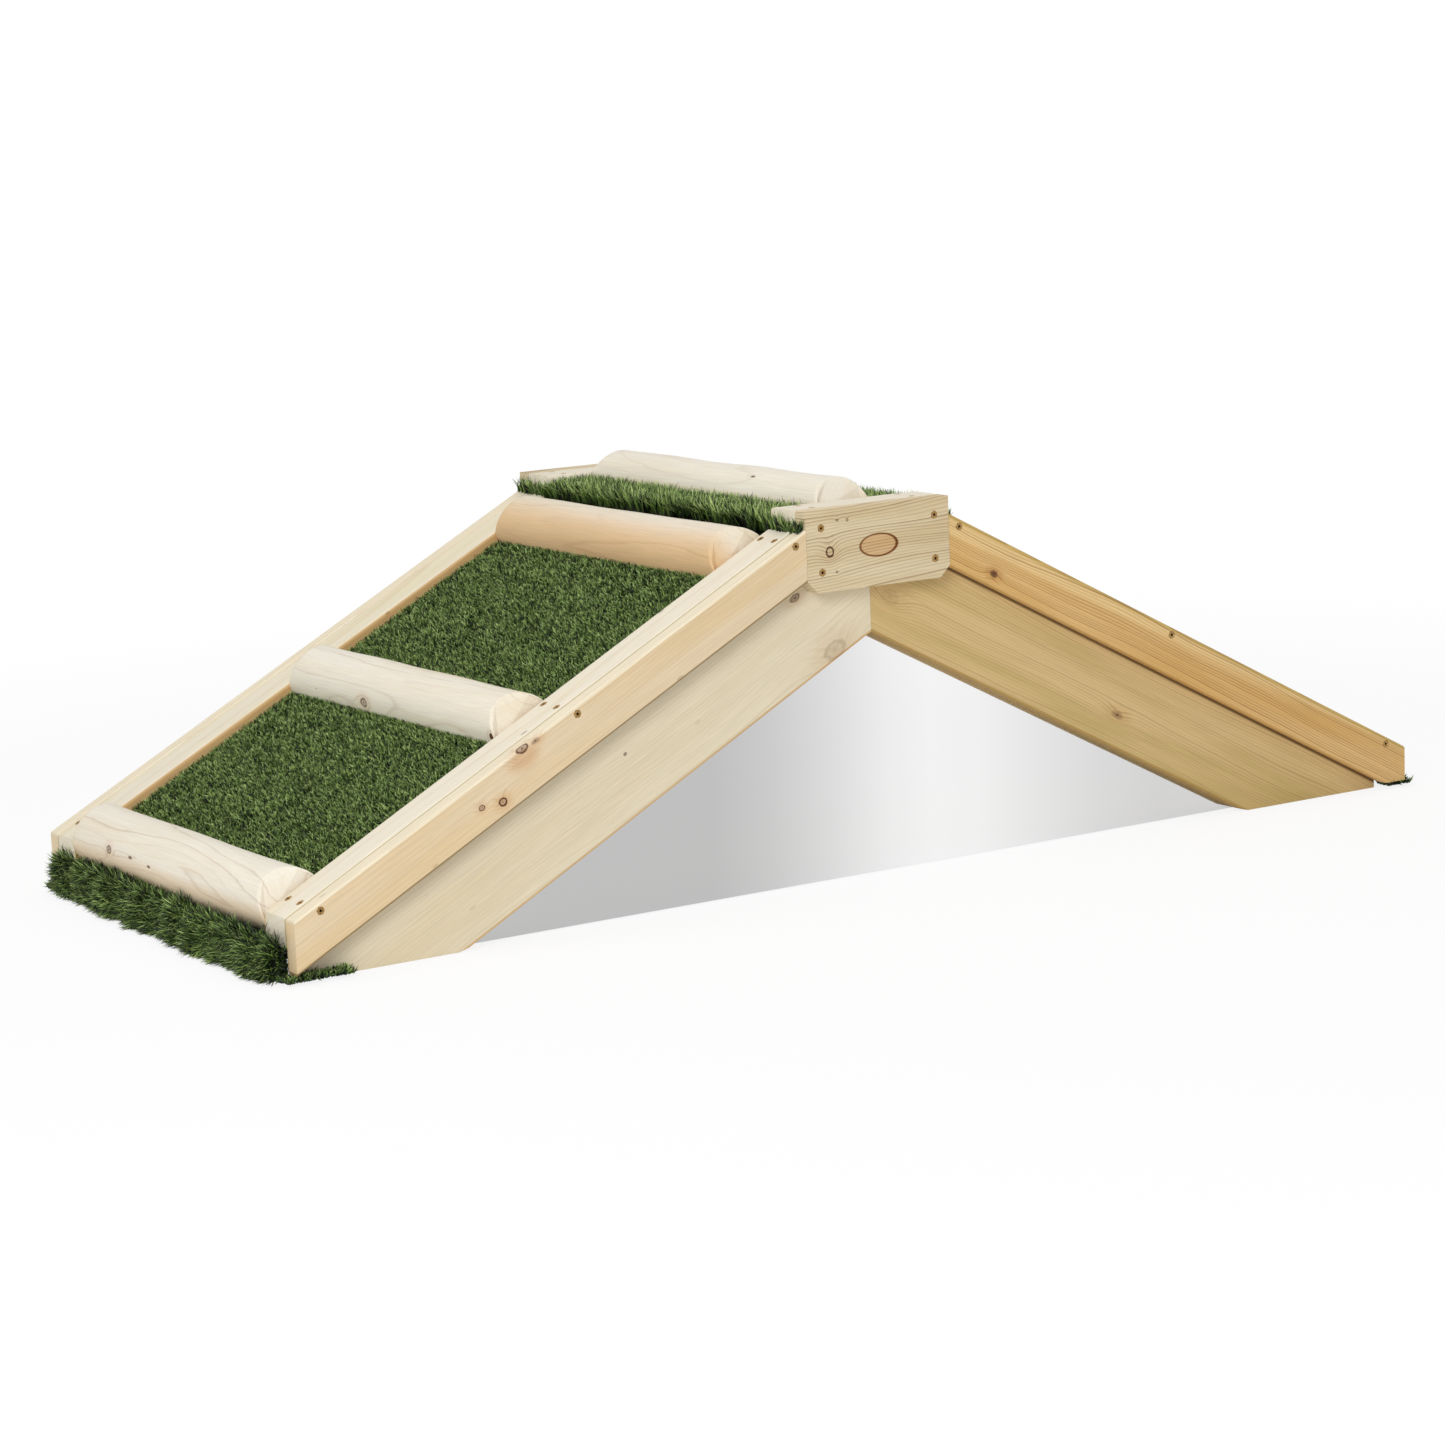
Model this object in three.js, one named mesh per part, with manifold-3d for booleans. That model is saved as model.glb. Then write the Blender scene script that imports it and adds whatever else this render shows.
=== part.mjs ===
// A low climbing A-frame for toddlers, built from pale pressure-treated softwood.
// Two ramps meet at a short level landing. Each ramp is a plywood deck on side
// boards, covered with artificial turf, with rails screwed down along both edges and
// fascias over the edges. The left ramp has D-shaped logs across as rungs, and the
// right one is plain turf. A mirror fills the triangle on each side, behind the boards.
// Millimetres, +Z up. X runs along the length, the near side is at -Y, and the
// origin is at the middle of the frame on the ground.
import * as THREE from 'three';
import { mergeVertices } from 'three/addons/utils/BufferGeometryUtils.js';
import Module from 'manifold-3d';

const wasm = await Module();
wasm.setup();

// Overall size
const frame_width = 620;
const landing_height = 420;
const landing_length = 190;
const crown_rise = 30;
const left_end_height = 67.3;
const right_end_height = 49.5;
const ramp_slope = THREE.MathUtils.degToRad(27.6);

// Boards and rails
const fascia_thickness = 20;
const fascia_depth = 51;
const rail_width = 48;
const rail_thickness = 32;
const deck_thickness = 12;
const side_board_thickness = 22;
const side_board_depth = 103;
const plate_height = 90;
const plate_chamfer = 13;
const board_round = 3;
const rail_round = 5;
const toe_clearance = 8;
const nose_setback = 15;
const nose_height = 9;
const foot_chamfer = 6;
const rail_landing_gap = 6;

// Badge recess on the near apex plate, left bare
const badge_length = 50;
const badge_height = 25;
const badge_depth = 1;

// Logs: round timber with one flat
const log_radius = 37;
const log_height = 56;
const log_end_run = 14;
const low_rung_inset = 30;
const high_rung_lead = 47;

// Artificial turf
const turf_thickness = 6;
const pile_height = 12;
const landing_pile_height = 24;
const blade_height = 7;
const blade_radius = 6;
const blade_root = 2;
const pile_gap = 1;
const pile_slant = 4;
const skirt_rise = 18;
const skirt_flap_length = 70;
const skirt_flap_overhang = 8;
const skirt_lift = 0.5;

// How many rows and columns of blades stand in each field of pile
const ramp_field_rows = 6;
const ramp_field_columns = 11;
const plain_field_rows = 16;
const landing_field_rows = 2;
const landing_field_columns = 14;
const stagger_share = 0.17;
const blade_lean_share = 0.33;

// Bearers under the decks
const bearer_width = 95;
const bearer_thickness = 22;
const bearer_lead = 14;
const ridge_bearer_width = 45;
const ridge_bearer_depth = 38;

// Mirror panels
const mirror_thickness = 3;
const mirror_overlap = 30;
const backing_thickness = 9;
const backing_overlap = 45;
const gable_flat = 8;
const mirror_clearance = 1;

// Countersunk screws
const head_radius = 4.6;
const head_height = 3;
const shank_radius = 2.3;
const tip_length = 5;
const screw_clearance = 0.3;
const drill_run_out = 2;
const screw_length = 40;
const outer_screw_inset = 10;
const inner_screw_inset = 37;
const rail_screw_start = 25;
const rail_screw_lead = 28;
const fascia_screw_lead = 5;
const fascia_screw_drop = 8;
const plate_screw_inset = 19.5;
const plate_screw_rise = 22;
const landing_screw_inset = 28;

// Running gap between pieces that touch
const fit_gap = 0.3;
const cut_overrun = 5;

// Derived lines. The rail tops of both ramps would meet at the crown, over the
// middle of the landing. Depths under them are measured square to the slope and are
// negative: rails, turf, deck and side boards follow one under the other.
const slope_tan = Math.tan(ramp_slope);
const slope_cos = Math.cos(ramp_slope);
const slope_sin = Math.sin(ramp_slope);
const crown_height = landing_height + crown_rise;
const turf_top = -rail_thickness;
const turf_bottom = turf_top - turf_thickness;
const deck_top = turf_bottom - fit_gap;
const deck_bottom = deck_top - deck_thickness;
const board_top = deck_bottom - fit_gap;
const board_bottom = board_top - side_board_depth;
const log_centre = turf_top + fit_gap + log_height - log_radius;
const half_width = frame_width / 2;
const half_landing = landing_length / 2;
const inner_half_width = half_width - fascia_thickness;
const rail_inner = inner_half_width - rail_width;
const board_inner = inner_half_width - side_board_thickness;
const landing_turf_top = landing_height - rail_thickness;
const landing_turf_bottom = landing_turf_top - turf_thickness;
const landing_deck_top = landing_turf_bottom - fit_gap;
const landing_deck_bottom = landing_deck_top - deck_thickness;
const rail_upper_end = half_landing + rail_landing_gap;
const plate_bottom = landing_height - plate_height;
const log_length = 2 * (rail_inner - fit_gap);

// Height of a line at a given depth under the plane of the rail tops.
function heightAt(x, depth) {
  return crown_height - Math.abs(x) * slope_tan + depth / slope_cos;
}

// Distance from the middle at which such a line reaches a given height.
function runAt(z, depth) {
  return (crown_height + depth / slope_cos - z) / slope_tan;
}

// Level length of each ramp's rails, from under the crown to their lower ends
const left_length = runAt(left_end_height, 0);
const right_length = runAt(right_end_height, 0);

// A point of the left ramp's side view in the ramp's own frame: x runs uphill and
// ends at zero under the crown, y stands for the height square to the slope.
function onRamp(x, z) {
  const dz = z - crown_height;
  return new THREE.Vector2(x * slope_cos + dz * slope_sin, dz * slope_cos - x * slope_sin);
}

// Three stations along a ramp of a given length, the lowest first. Both ramps have
// their screws and bearers at them, and the left one its rungs.
function stationsOf(length) {
  const low = -length / slope_cos + low_rung_inset;
  const high = -(half_landing + high_rung_lead) / slope_cos;
  return [low, (low + high) / 2, high];
}

// Where deck and side boards end, short of the ends of the rails
function noseOf(length) {
  return -Math.min(length - nose_setback, runAt(nose_height, board_top));
}

// Two places across the frame, on the side that the sign gives, the lower one first.
function span(sign, a, b) {
  return [Math.min(sign * a, sign * b), Math.max(sign * a, sign * b)];
}

// Solids and meshes

function solidOf(geometry) {
  const bare = geometry.clone();
  bare.deleteAttribute('normal');
  bare.deleteAttribute('uv');
  const merged = mergeVertices(bare);
  return new wasm.Manifold(new wasm.Mesh({
    numProp: 3,
    vertProperties: new Float32Array(merged.attributes.position.array),
    triVerts: new Uint32Array(merged.index.array),
  }));
}

function geometryOf(solid) {
  const mesh = solid.getMesh();
  const geometry = new THREE.BufferGeometry();
  geometry.setAttribute('position', new THREE.BufferAttribute(new Float32Array(mesh.vertProperties), 3));
  geometry.setIndex(new THREE.BufferAttribute(new Uint32Array(mesh.triVerts), 1));
  const faceted = geometry.toNonIndexed();
  faceted.computeVertexNormals();
  return faceted;
}

// A prism whose outline lies in the XZ plane, between two places along Y.
function prism(outline, y_low, y_high) {
  const geometry = new THREE.ExtrudeGeometry(new THREE.Shape(outline), {
    depth: y_high - y_low,
    bevelEnabled: false,
  });
  geometry.rotateX(Math.PI / 2);
  geometry.translate(0, y_high, 0);
  return solidOf(geometry);
}

function box(x_low, x_high, y_low, y_high, z_low, z_high) {
  const geometry = new THREE.BoxGeometry(x_high - x_low, y_high - y_low, z_high - z_low);
  geometry.translate((x_low + x_high) / 2, (y_low + y_high) / 2, (z_low + z_high) / 2);
  return solidOf(geometry);
}

// A bar along X with its four long arrises rounded.
function roundedBar(x_low, x_high, y_low, y_high, z_low, z_high, round) {
  const outline = new THREE.Shape();
  outline.moveTo(z_low + round, y_low);
  outline.lineTo(z_high - round, y_low);
  outline.absarc(z_high - round, y_low + round, round, -Math.PI / 2, 0);
  outline.lineTo(z_high, y_high - round);
  outline.absarc(z_high - round, y_high - round, round, 0, Math.PI / 2);
  outline.lineTo(z_low + round, y_high);
  outline.absarc(z_low + round, y_high - round, round, Math.PI / 2, Math.PI);
  outline.lineTo(z_low, y_low + round);
  outline.absarc(z_low + round, y_low + round, round, Math.PI, Math.PI * 3 / 2);
  const geometry = new THREE.ExtrudeGeometry(outline, {
    depth: x_high - x_low,
    bevelEnabled: false,
    curveSegments: 3,
  });
  geometry.rotateY(-Math.PI / 2);
  geometry.translate(x_high, 0, 0);
  return solidOf(geometry);
}

// Screws: a countersunk head on a plain shank. Each is given by the place of its
// head's face and the direction that it is driven in.

function screwAt(x, y, z, drive) {
  return { head: new THREE.Vector3(x, y, z), drive };
}

function turned(profile, screw, frame = new THREE.Matrix4()) {
  const sides = 6;
  const geometry = new THREE.LatheGeometry(profile.reverse(), sides);
  const turn = new THREE.Quaternion();
  turn.setFromUnitVectors(new THREE.Vector3(0, -1, 0), screw.drive);
  geometry.applyQuaternion(turn);
  geometry.translate(screw.head.x, screw.head.y, screw.head.z);
  geometry.applyMatrix4(frame);
  return solidOf(geometry);
}

function screwSolid(screw) {
  return turned([
    new THREE.Vector2(0, 0),
    new THREE.Vector2(head_radius, 0),
    new THREE.Vector2(shank_radius, -head_height),
    new THREE.Vector2(shank_radius, tip_length - screw_length),
    new THREE.Vector2(0, -screw_length),
  ], screw);
}

// The hole that a screw sits in, open above its head. A hole given in the frame of
// the whole object is moved into the frame of one ramp by a matrix.
function screwHole(screw, frame) {
  return turned([
    new THREE.Vector2(0, drill_run_out),
    new THREE.Vector2(head_radius + screw_clearance, drill_run_out),
    new THREE.Vector2(head_radius + screw_clearance, 0),
    new THREE.Vector2(shank_radius + screw_clearance, -head_height),
    new THREE.Vector2(shank_radius + screw_clearance, tip_length - screw_length),
    new THREE.Vector2(0, -screw_length - screw_clearance),
  ], screw, frame);
}

// The countersink alone, as deep as a head
function countersink(screw) {
  return turned([
    new THREE.Vector2(0, drill_run_out),
    new THREE.Vector2(head_radius + screw_clearance, drill_run_out),
    new THREE.Vector2(head_radius + screw_clearance, 0),
    new THREE.Vector2(shank_radius + screw_clearance, -head_height),
    new THREE.Vector2(0, -head_height),
  ], screw);
}

function withoutAll(solid, shapes) {
  return shapes.reduce((rest, shape) => rest.subtract(shape), solid);
}

const drive_down = new THREE.Vector3(0, 0, -1);
const drive_near = new THREE.Vector3(0, -1, 0);
const drive_far = new THREE.Vector3(0, 1, 0);

// Screws of the apex plates and of the landing rails, two at each end
const plate_screws = { near: [], far: [] };
const landing_countersinks = [];
[-1, 1].forEach((direction) => {
  const inward = direction < 0 ? drive_far : drive_near;
  const edge = direction < 0 ? 'near' : 'far';
  [-1, 1].forEach((end) => {
    const plate_x = end * (half_landing - plate_screw_inset);
    [landing_height - plate_screw_inset, plate_bottom + plate_screw_rise].forEach((z) => {
      plate_screws[edge].push(screwAt(plate_x, direction * half_width, z, inward));
    });
    const landing_x = end * (half_landing - landing_screw_inset);
    [outer_screw_inset, inner_screw_inset].forEach((inset) => {
      const y = direction * (inner_half_width - inset);
      landing_countersinks.push(countersink(screwAt(landing_x, y, landing_height, drive_down)));
    });
  });
});
const all_plate_screws = [...plate_screws.near, ...plate_screws.far];
const plate_holes = all_plate_screws.map((screw) => screwHole(screw));

// The same holes as one ramp's frame sees them; both ramps see the same set.
const ramp_placement = new THREE.Matrix4().makeRotationY(-ramp_slope);
ramp_placement.setPosition(0, 0, crown_height);
const into_ramp = ramp_placement.clone().invert();
const plate_holes_on_ramp = all_plate_screws.map((screw) => screwHole(screw, into_ramp));

// Materials

const timbers = {
  rail: 0xf0e6d6,
  log: 0xf1e7d8,
  fascia_left: 0xe3cfa8,
  fascia_right: 0xcfa56b,
  board_left: 0xddcda6,
  board_right: 0xc8b080,
  plate: 0xd3be96,
  hidden: 0xd9c59a,
};

function timber(name) {
  return new THREE.MeshStandardMaterial({ color: timbers[name], roughness: 0.75, metalness: 0 });
}

function plywood() {
  return new THREE.MeshStandardMaterial({ color: 0xc9a877, roughness: 0.8, metalness: 0 });
}

function turfGreen() {
  return new THREE.MeshStandardMaterial({ color: 0x35521f, roughness: 0.9, metalness: 0 });
}

function mirrorSheet() {
  return new THREE.MeshStandardMaterial({ color: 0xd8d8d8, roughness: 0.08, metalness: 1 });
}

function screwMetal() {
  return new THREE.MeshStandardMaterial({ color: 0x6e5a3c, roughness: 0.4, metalness: 0.9 });
}

function add(group, name, solid, material) {
  const mesh = new THREE.Mesh(geometryOf(solid), material);
  mesh.name = name;
  group.add(mesh);
  return mesh;
}

// Log: the D-section lies in the XZ plane on its flat, centred on x = 0 with the
// rail tops at z = 0. Above the rail tops each end is cut back by a slanting face.
function logSolid(length) {
  const segments = 20;
  const flat_angle = Math.asin((log_height - log_radius) / log_radius);
  const outline = [];
  for (let i = 0; i <= segments; i += 1) {
    const angle = -flat_angle + (Math.PI + 2 * flat_angle) * i / segments;
    const x = log_radius * Math.cos(angle);
    outline.push(new THREE.Vector2(x, log_centre + log_radius * Math.sin(angle)));
  }
  const half = length / 2;
  const top = log_centre + log_radius;
  const rise = top + cut_overrun;
  const inward = log_end_run * rise / top;
  const outward = half + cut_overrun;
  const reach = log_radius + cut_overrun;
  let log = prism(outline, -half, half);
  [-1, 1].forEach((side) => {
    const wedge = new THREE.Shape();
    wedge.moveTo(side * half, 0);
    wedge.lineTo(side * (half - inward), rise);
    wedge.lineTo(side * outward, rise);
    wedge.lineTo(side * outward, 0);
    const cutter = new THREE.ExtrudeGeometry(wedge, { depth: 2 * reach, bevelEnabled: false });
    cutter.rotateX(Math.PI / 2);
    cutter.rotateZ(Math.PI / 2);
    cutter.translate(-reach, 0, 0);
    log = log.subtract(solidOf(cutter));
  });
  return log;
}

// Turf: a blade is a slim three-sided spike, rooted in the pile.
function blade(base, direction) {
  const height = blade_height + blade_root;
  const spike = new THREE.ConeGeometry(blade_radius, height, 3);
  spike.translate(0, height / 2 - blade_root, 0);
  const turn = new THREE.Quaternion();
  turn.setFromUnitVectors(new THREE.Vector3(0, 1, 0), direction.clone().normalize());
  spike.applyQuaternion(turn);
  spike.translate(base.x, base.y, base.z);
  return solidOf(spike);
}

// Rows of blades are set off from each other; this is a blade's share of its column.
function stagger(row) {
  return 1 / 2 + (row % 2 === 0 ? -stagger_share : stagger_share);
}

// A field of pile standing on a turf base, with blades in staggered rows on top.
function pileField(x_low, x_high, y_low, y_high, z_base, height, rows, columns) {
  const top = z_base + height;
  const base = z_base - turf_thickness / 2;
  const outline = [
    new THREE.Vector2(x_low, base),
    new THREE.Vector2(x_high, base),
    new THREE.Vector2(x_high, z_base),
    new THREE.Vector2(x_high - pile_slant, top),
    new THREE.Vector2(x_low + pile_slant, top),
    new THREE.Vector2(x_low, z_base),
  ];
  let field = prism(outline, y_low, y_high);
  const along = (x_high - x_low - 2 * pile_slant) / rows;
  const across = (y_high - y_low) / columns;
  for (let row = 0; row < rows; row += 1) {
    for (let column = 0; column < columns; column += 1) {
      const lean_along = blade_lean_share * Math.sin(2 * row + column);
      const lean_across = blade_lean_share * Math.cos(2 * column + row);
      const x = x_low + pile_slant + (row + 1 / 2) * along;
      const y = y_low + (column + stagger(row)) * across;
      const lean = new THREE.Vector3(lean_along, lean_across, 1);
      field = field.add(blade(new THREE.Vector3(x, y, top), lean));
    }
  }
  return field;
}

// Everything on one ramp, in the ramp's own frame. The name is that of its side, the
// length that of its rails from the middle of the frame, measured level.
function buildRamp(side, length) {
  const ramp = new THREE.Group();
  const far_side = side === 'left' ? 1 : -1;
  const sideName = (direction) => (direction === far_side ? 'far' : 'near');
  const plumb = (x, depth) => onRamp(x, heightAt(x, depth));

  const low_end = -length;
  const nose = noseOf(length);
  const bar_reach = 2 * length / slope_cos;
  const stations = stationsOf(length);
  const screw_stations = stations.map((station, i) => {
    return i === 0 ? low_end / slope_cos + rail_screw_start : station + rail_screw_lead;
  });

  const countersinks = [];
  const fascia_screws = { near: [], far: [] };
  [-1, 1].forEach((direction) => {
    const inward = direction < 0 ? drive_far : drive_near;
    screw_stations.forEach((station) => {
      [outer_screw_inset, inner_screw_inset].forEach((inset) => {
        const y = direction * (inner_half_width - inset);
        countersinks.push(countersink(screwAt(station, y, 0, drive_down)));
      });
      const x = station + fascia_screw_lead;
      const screw = screwAt(x, direction * half_width, -fascia_screw_drop, inward);
      fascia_screws[sideName(direction)].push(screw);
    });
  });
  const fascia_holes = [...fascia_screws.near, ...fascia_screws.far].map((screw) => screwHole(screw));

  // Fascias, rails and side boards on both edges
  [-1, 1].forEach((direction) => {
    const edge = sideName(direction) + '_' + side;
    const [fascia_low, fascia_high] = span(direction, inner_half_width, half_width);
    const fascia_bar = roundedBar(
      -bar_reach, bar_reach, fascia_low, fascia_high, -fascia_depth, 0, board_round,
    );
    const fascia_end = -half_landing - fit_gap;
    const fascia_outline = [
      onRamp(low_end, toe_clearance),
      onRamp(fascia_end, toe_clearance),
      onRamp(fascia_end, crown_height),
      onRamp(low_end, crown_height),
    ];
    const fascia_cut = prism(fascia_outline, fascia_low - cut_overrun, fascia_high + cut_overrun);
    const fascia = withoutAll(fascia_bar.intersect(fascia_cut), fascia_holes);
    add(ramp, 'fascia_' + edge, fascia, timber('fascia_' + side));

    const [rail_low, rail_high] = span(direction, rail_inner, inner_half_width - fit_gap);
    const rail_bar = roundedBar(
      -bar_reach, bar_reach, rail_low, rail_high, turf_top + fit_gap, 0, rail_round,
    );
    const rail_outline = [
      onRamp(low_end, 0),
      onRamp(-rail_upper_end, 0),
      onRamp(-rail_upper_end, crown_height),
      onRamp(low_end, crown_height),
    ];
    const rail_cut = prism(rail_outline, rail_low - cut_overrun, rail_high + cut_overrun);
    const rail = withoutAll(rail_bar.intersect(rail_cut), [...fascia_holes, ...countersinks]);
    add(ramp, 'ramp_rail_' + edge, rail, timber('rail'));

    const [board_low, board_high] = span(direction, board_inner, inner_half_width - fit_gap);
    const seam = -fit_gap / 2;
    const level_top = landing_deck_bottom - fit_gap;
    const foot = -runAt(0, board_bottom);
    const board = prism([
      onRamp(nose, 0),
      onRamp(foot - foot_chamfer, 0),
      onRamp(foot + foot_chamfer, heightAt(foot + foot_chamfer, board_bottom)),
      plumb(seam, board_bottom),
      onRamp(seam, level_top),
      onRamp(-runAt(level_top, board_top), level_top),
      plumb(nose, board_top),
    ], board_low, board_high);
    add(ramp, 'side_board_' + edge, withoutAll(board, plate_holes_on_ramp), timber('board_' + side));
  });

  // Plywood deck
  const deck_end = -runAt(landing_deck_bottom - fit_gap, deck_top);
  const deck = prism([
    plumb(nose, deck_bottom),
    plumb(deck_end, deck_bottom),
    plumb(deck_end, deck_top),
    plumb(nose, deck_top),
  ], -inner_half_width + fit_gap, inner_half_width - fit_gap);
  add(ramp, 'deck_' + side, withoutAll(deck, plate_holes_on_ramp), plywood());

  // Rungs on the left ramp, and on both a cross bearer under the deck behind all
  // stations but the lowest
  stations.forEach((station, i) => {
    const level = ['low', 'middle', 'high'][i];
    if (side === 'left') {
      const rung = add(ramp, 'rung_' + level + '_' + side, logSolid(log_length), timber('log'));
      rung.position.x = station;
    }
    if (i > 0) {
      const centre = station + bearer_lead;
      const bearer = box(
        centre - bearer_width / 2, centre + bearer_width / 2,
        -board_inner + fit_gap, board_inner - fit_gap,
        board_top - bearer_thickness, board_top,
      );
      add(ramp, 'cross_bearer_' + level + '_' + side, bearer, timber('hidden'));
    }
  });

  add(ramp, 'turf_' + side, turfSolid(side, length), turfGreen());
  add(ramp, 'turf_skirt_' + side, skirtSolid(length), turfGreen());
  ['near', 'far'].forEach((edge) => {
    fascia_screws[edge].forEach((screw, i) => {
      const name = 'fascia_screw_' + ['low', 'middle', 'high'][i] + '_' + edge + '_' + side;
      add(ramp, name, screwSolid(screw), screwMetal());
    });
  });

  ramp.applyMatrix4(ramp_placement);
  return ramp;
}

// Turf of one ramp in the ramp's frame: the base under rails and logs, and the pile.
// On the left ramp it stands in each field between one log and the next, and on the
// right one in a single field from the toe to the landing.
function turfSolid(side, length) {
  const half_base = inner_half_width - fit_gap;
  const upper_end = -half_landing - 2 * pile_gap;
  let turf = prism([
    onRamp(-length, heightAt(length, turf_bottom)),
    onRamp(upper_end, heightAt(upper_end, turf_bottom)),
    onRamp(upper_end, heightAt(upper_end, turf_top)),
    onRamp(-length, heightAt(length, turf_top)),
  ], -half_base, half_base);
  const field_half = rail_inner - pile_gap;
  const clear_of_log = log_radius + pile_gap;
  const [low, middle, high] = stationsOf(length);
  const between_logs = [
    { from: low + clear_of_log, to: middle - clear_of_log, rows: ramp_field_rows },
    { from: middle + clear_of_log, to: high - clear_of_log, rows: ramp_field_rows },
  ];
  const toe = onRamp(-length, heightAt(length, turf_top + pile_height)).x;
  const brow = onRamp(upper_end, heightAt(upper_end, turf_bottom)).x;
  const toe_to_brow = [{ from: toe + pile_gap, to: brow, rows: plain_field_rows }];
  const fields = side === 'left' ? between_logs : toe_to_brow;
  fields.forEach(({ from, to, rows }) => {
    turf = turf.add(pileField(
      from, to, -field_half, field_half, turf_top, pile_height, rows, ramp_field_columns,
    ));
  });
  return turf;
}

// The turf's skirt in front of the lower end, seen from the side in the frame of the
// ramp: its pile faces outwards, and a flap reaches out under each fascia toe.
function skirtSolid(length) {
  const back = -length - fit_gap;
  const base_front = back - turf_thickness;
  const pile_front = base_front - pile_height;
  const top = heightAt(length, turf_top) + skirt_rise;
  const half_base = inner_half_width - fit_gap;
  let skirt = prism([
    onRamp(pile_front, skirt_lift),
    onRamp(back, skirt_lift),
    onRamp(back, top),
    onRamp(base_front, top),
    onRamp(pile_front, top - pile_height),
  ], -half_base, half_base);
  const flap_top = toe_clearance - pile_gap;
  const flap_end = skirt_flap_length - length;
  [-1, 1].forEach((direction) => {
    const outer = half_width + skirt_flap_overhang;
    const [wrap_low, wrap_high] = span(direction, half_base - turf_thickness, outer);
    const wrap = prism([
      onRamp(pile_front, skirt_lift),
      onRamp(back, skirt_lift),
      onRamp(back, flap_top),
      onRamp(pile_front, flap_top),
    ], wrap_low, wrap_high);
    const [flap_low, flap_high] = span(direction, inner_half_width + fit_gap, outer);
    const flap = prism([
      onRamp(back - pile_gap, skirt_lift),
      onRamp(flap_end, skirt_lift),
      onRamp(flap_end, flap_top),
      onRamp(back - pile_gap, flap_top),
    ], flap_low, flap_high);
    skirt = skirt.add(wrap).add(flap);
  });
  return skirt;
}

// Level landing, apex plates and mirrors, all symmetrical about the middle

function buildLanding() {
  const landing = new THREE.Group();

  ['near', 'far'].forEach((edge) => {
    const direction = edge === 'near' ? -1 : 1;
    const [rail_low, rail_high] = span(direction, rail_inner, inner_half_width - fit_gap);
    const rail = roundedBar(
      -half_landing, half_landing, rail_low, rail_high,
      landing_turf_top + fit_gap, landing_height, rail_round,
    );
    const holes = [...plate_holes, ...landing_countersinks];
    add(landing, 'landing_rail_' + edge, withoutAll(rail, holes), timber('rail'));

    // Apex plate with its two lower corners cut off
    const [plate_low, plate_high] = span(direction, inner_half_width, half_width);
    let plate = prism([
      new THREE.Vector2(-half_landing, landing_height),
      new THREE.Vector2(-half_landing, plate_bottom + plate_chamfer),
      new THREE.Vector2(-half_landing + plate_chamfer, plate_bottom),
      new THREE.Vector2(half_landing - plate_chamfer, plate_bottom),
      new THREE.Vector2(half_landing, plate_bottom + plate_chamfer),
      new THREE.Vector2(half_landing, landing_height),
    ], plate_low, plate_high);
    if (edge === 'near') {
      const badge = new THREE.EllipseCurve(
        0, landing_height - plate_height / 2, badge_length / 2, badge_height / 2,
      );
      const badge_points = badge.getPoints(24).slice(0, -1);
      plate = plate.subtract(prism(badge_points, -half_width - cut_overrun, -half_width + badge_depth));
    }
    add(landing, 'apex_plate_' + edge, withoutAll(plate, plate_holes), timber('plate'));
    plate_screws[edge].forEach((screw, i) => {
      const place = ['left_upper', 'left_lower', 'right_upper', 'right_lower'][i];
      add(landing, 'plate_screw_' + place + '_' + edge, screwSolid(screw), screwMetal());
    });
  });

  const half_cover = inner_half_width - fit_gap;
  const deck = box(
    -half_landing, half_landing, -half_cover, half_cover, landing_deck_bottom, landing_deck_top,
  );
  add(landing, 'landing_deck', deck, plywood());

  // Landing turf, with pile on both sides of the ridge log
  const field_half = rail_inner - pile_gap;
  const clear_of_log = log_radius + pile_gap;
  let turf = box(
    -half_landing, half_landing, -half_cover, half_cover, landing_turf_bottom, landing_turf_top,
  );
  turf = turf.add(pileField(
    clear_of_log, half_landing, -field_half, field_half, landing_turf_top, landing_pile_height,
    landing_field_rows, landing_field_columns,
  ));
  turf = turf.add(pileField(
    -half_landing, -clear_of_log, -field_half, field_half, landing_turf_top, landing_pile_height,
    landing_field_rows, landing_field_columns,
  ));
  add(landing, 'turf_landing', turf, turfGreen());

  const ridge_log = add(landing, 'ridge_log', logSolid(log_length), timber('log'));
  ridge_log.position.z = landing_height;

  const half_bearer = ridge_bearer_width / 2;
  const ridge_bearer_top = landing_deck_bottom - fit_gap;
  const ridge_bearer = box(
    -half_bearer, half_bearer, -board_inner + fit_gap, board_inner - fit_gap,
    ridge_bearer_top - ridge_bearer_depth, ridge_bearer_top,
  );
  add(landing, 'ridge_bearer', ridge_bearer, timber('hidden'));

  return landing;
}

// A triangle from the ground up with a blunt tip, lapping a given height behind the
// side boards.
function gableOutline(overlap) {
  const depth = board_bottom + overlap;
  const foot = runAt(mirror_clearance, depth);
  const top = heightAt(0, depth) - gable_flat;
  const half_top = runAt(top, depth);
  return [
    new THREE.Vector2(-foot, mirror_clearance),
    new THREE.Vector2(foot, mirror_clearance),
    new THREE.Vector2(half_top, top),
    new THREE.Vector2(-half_top, top),
  ];
}

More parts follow.
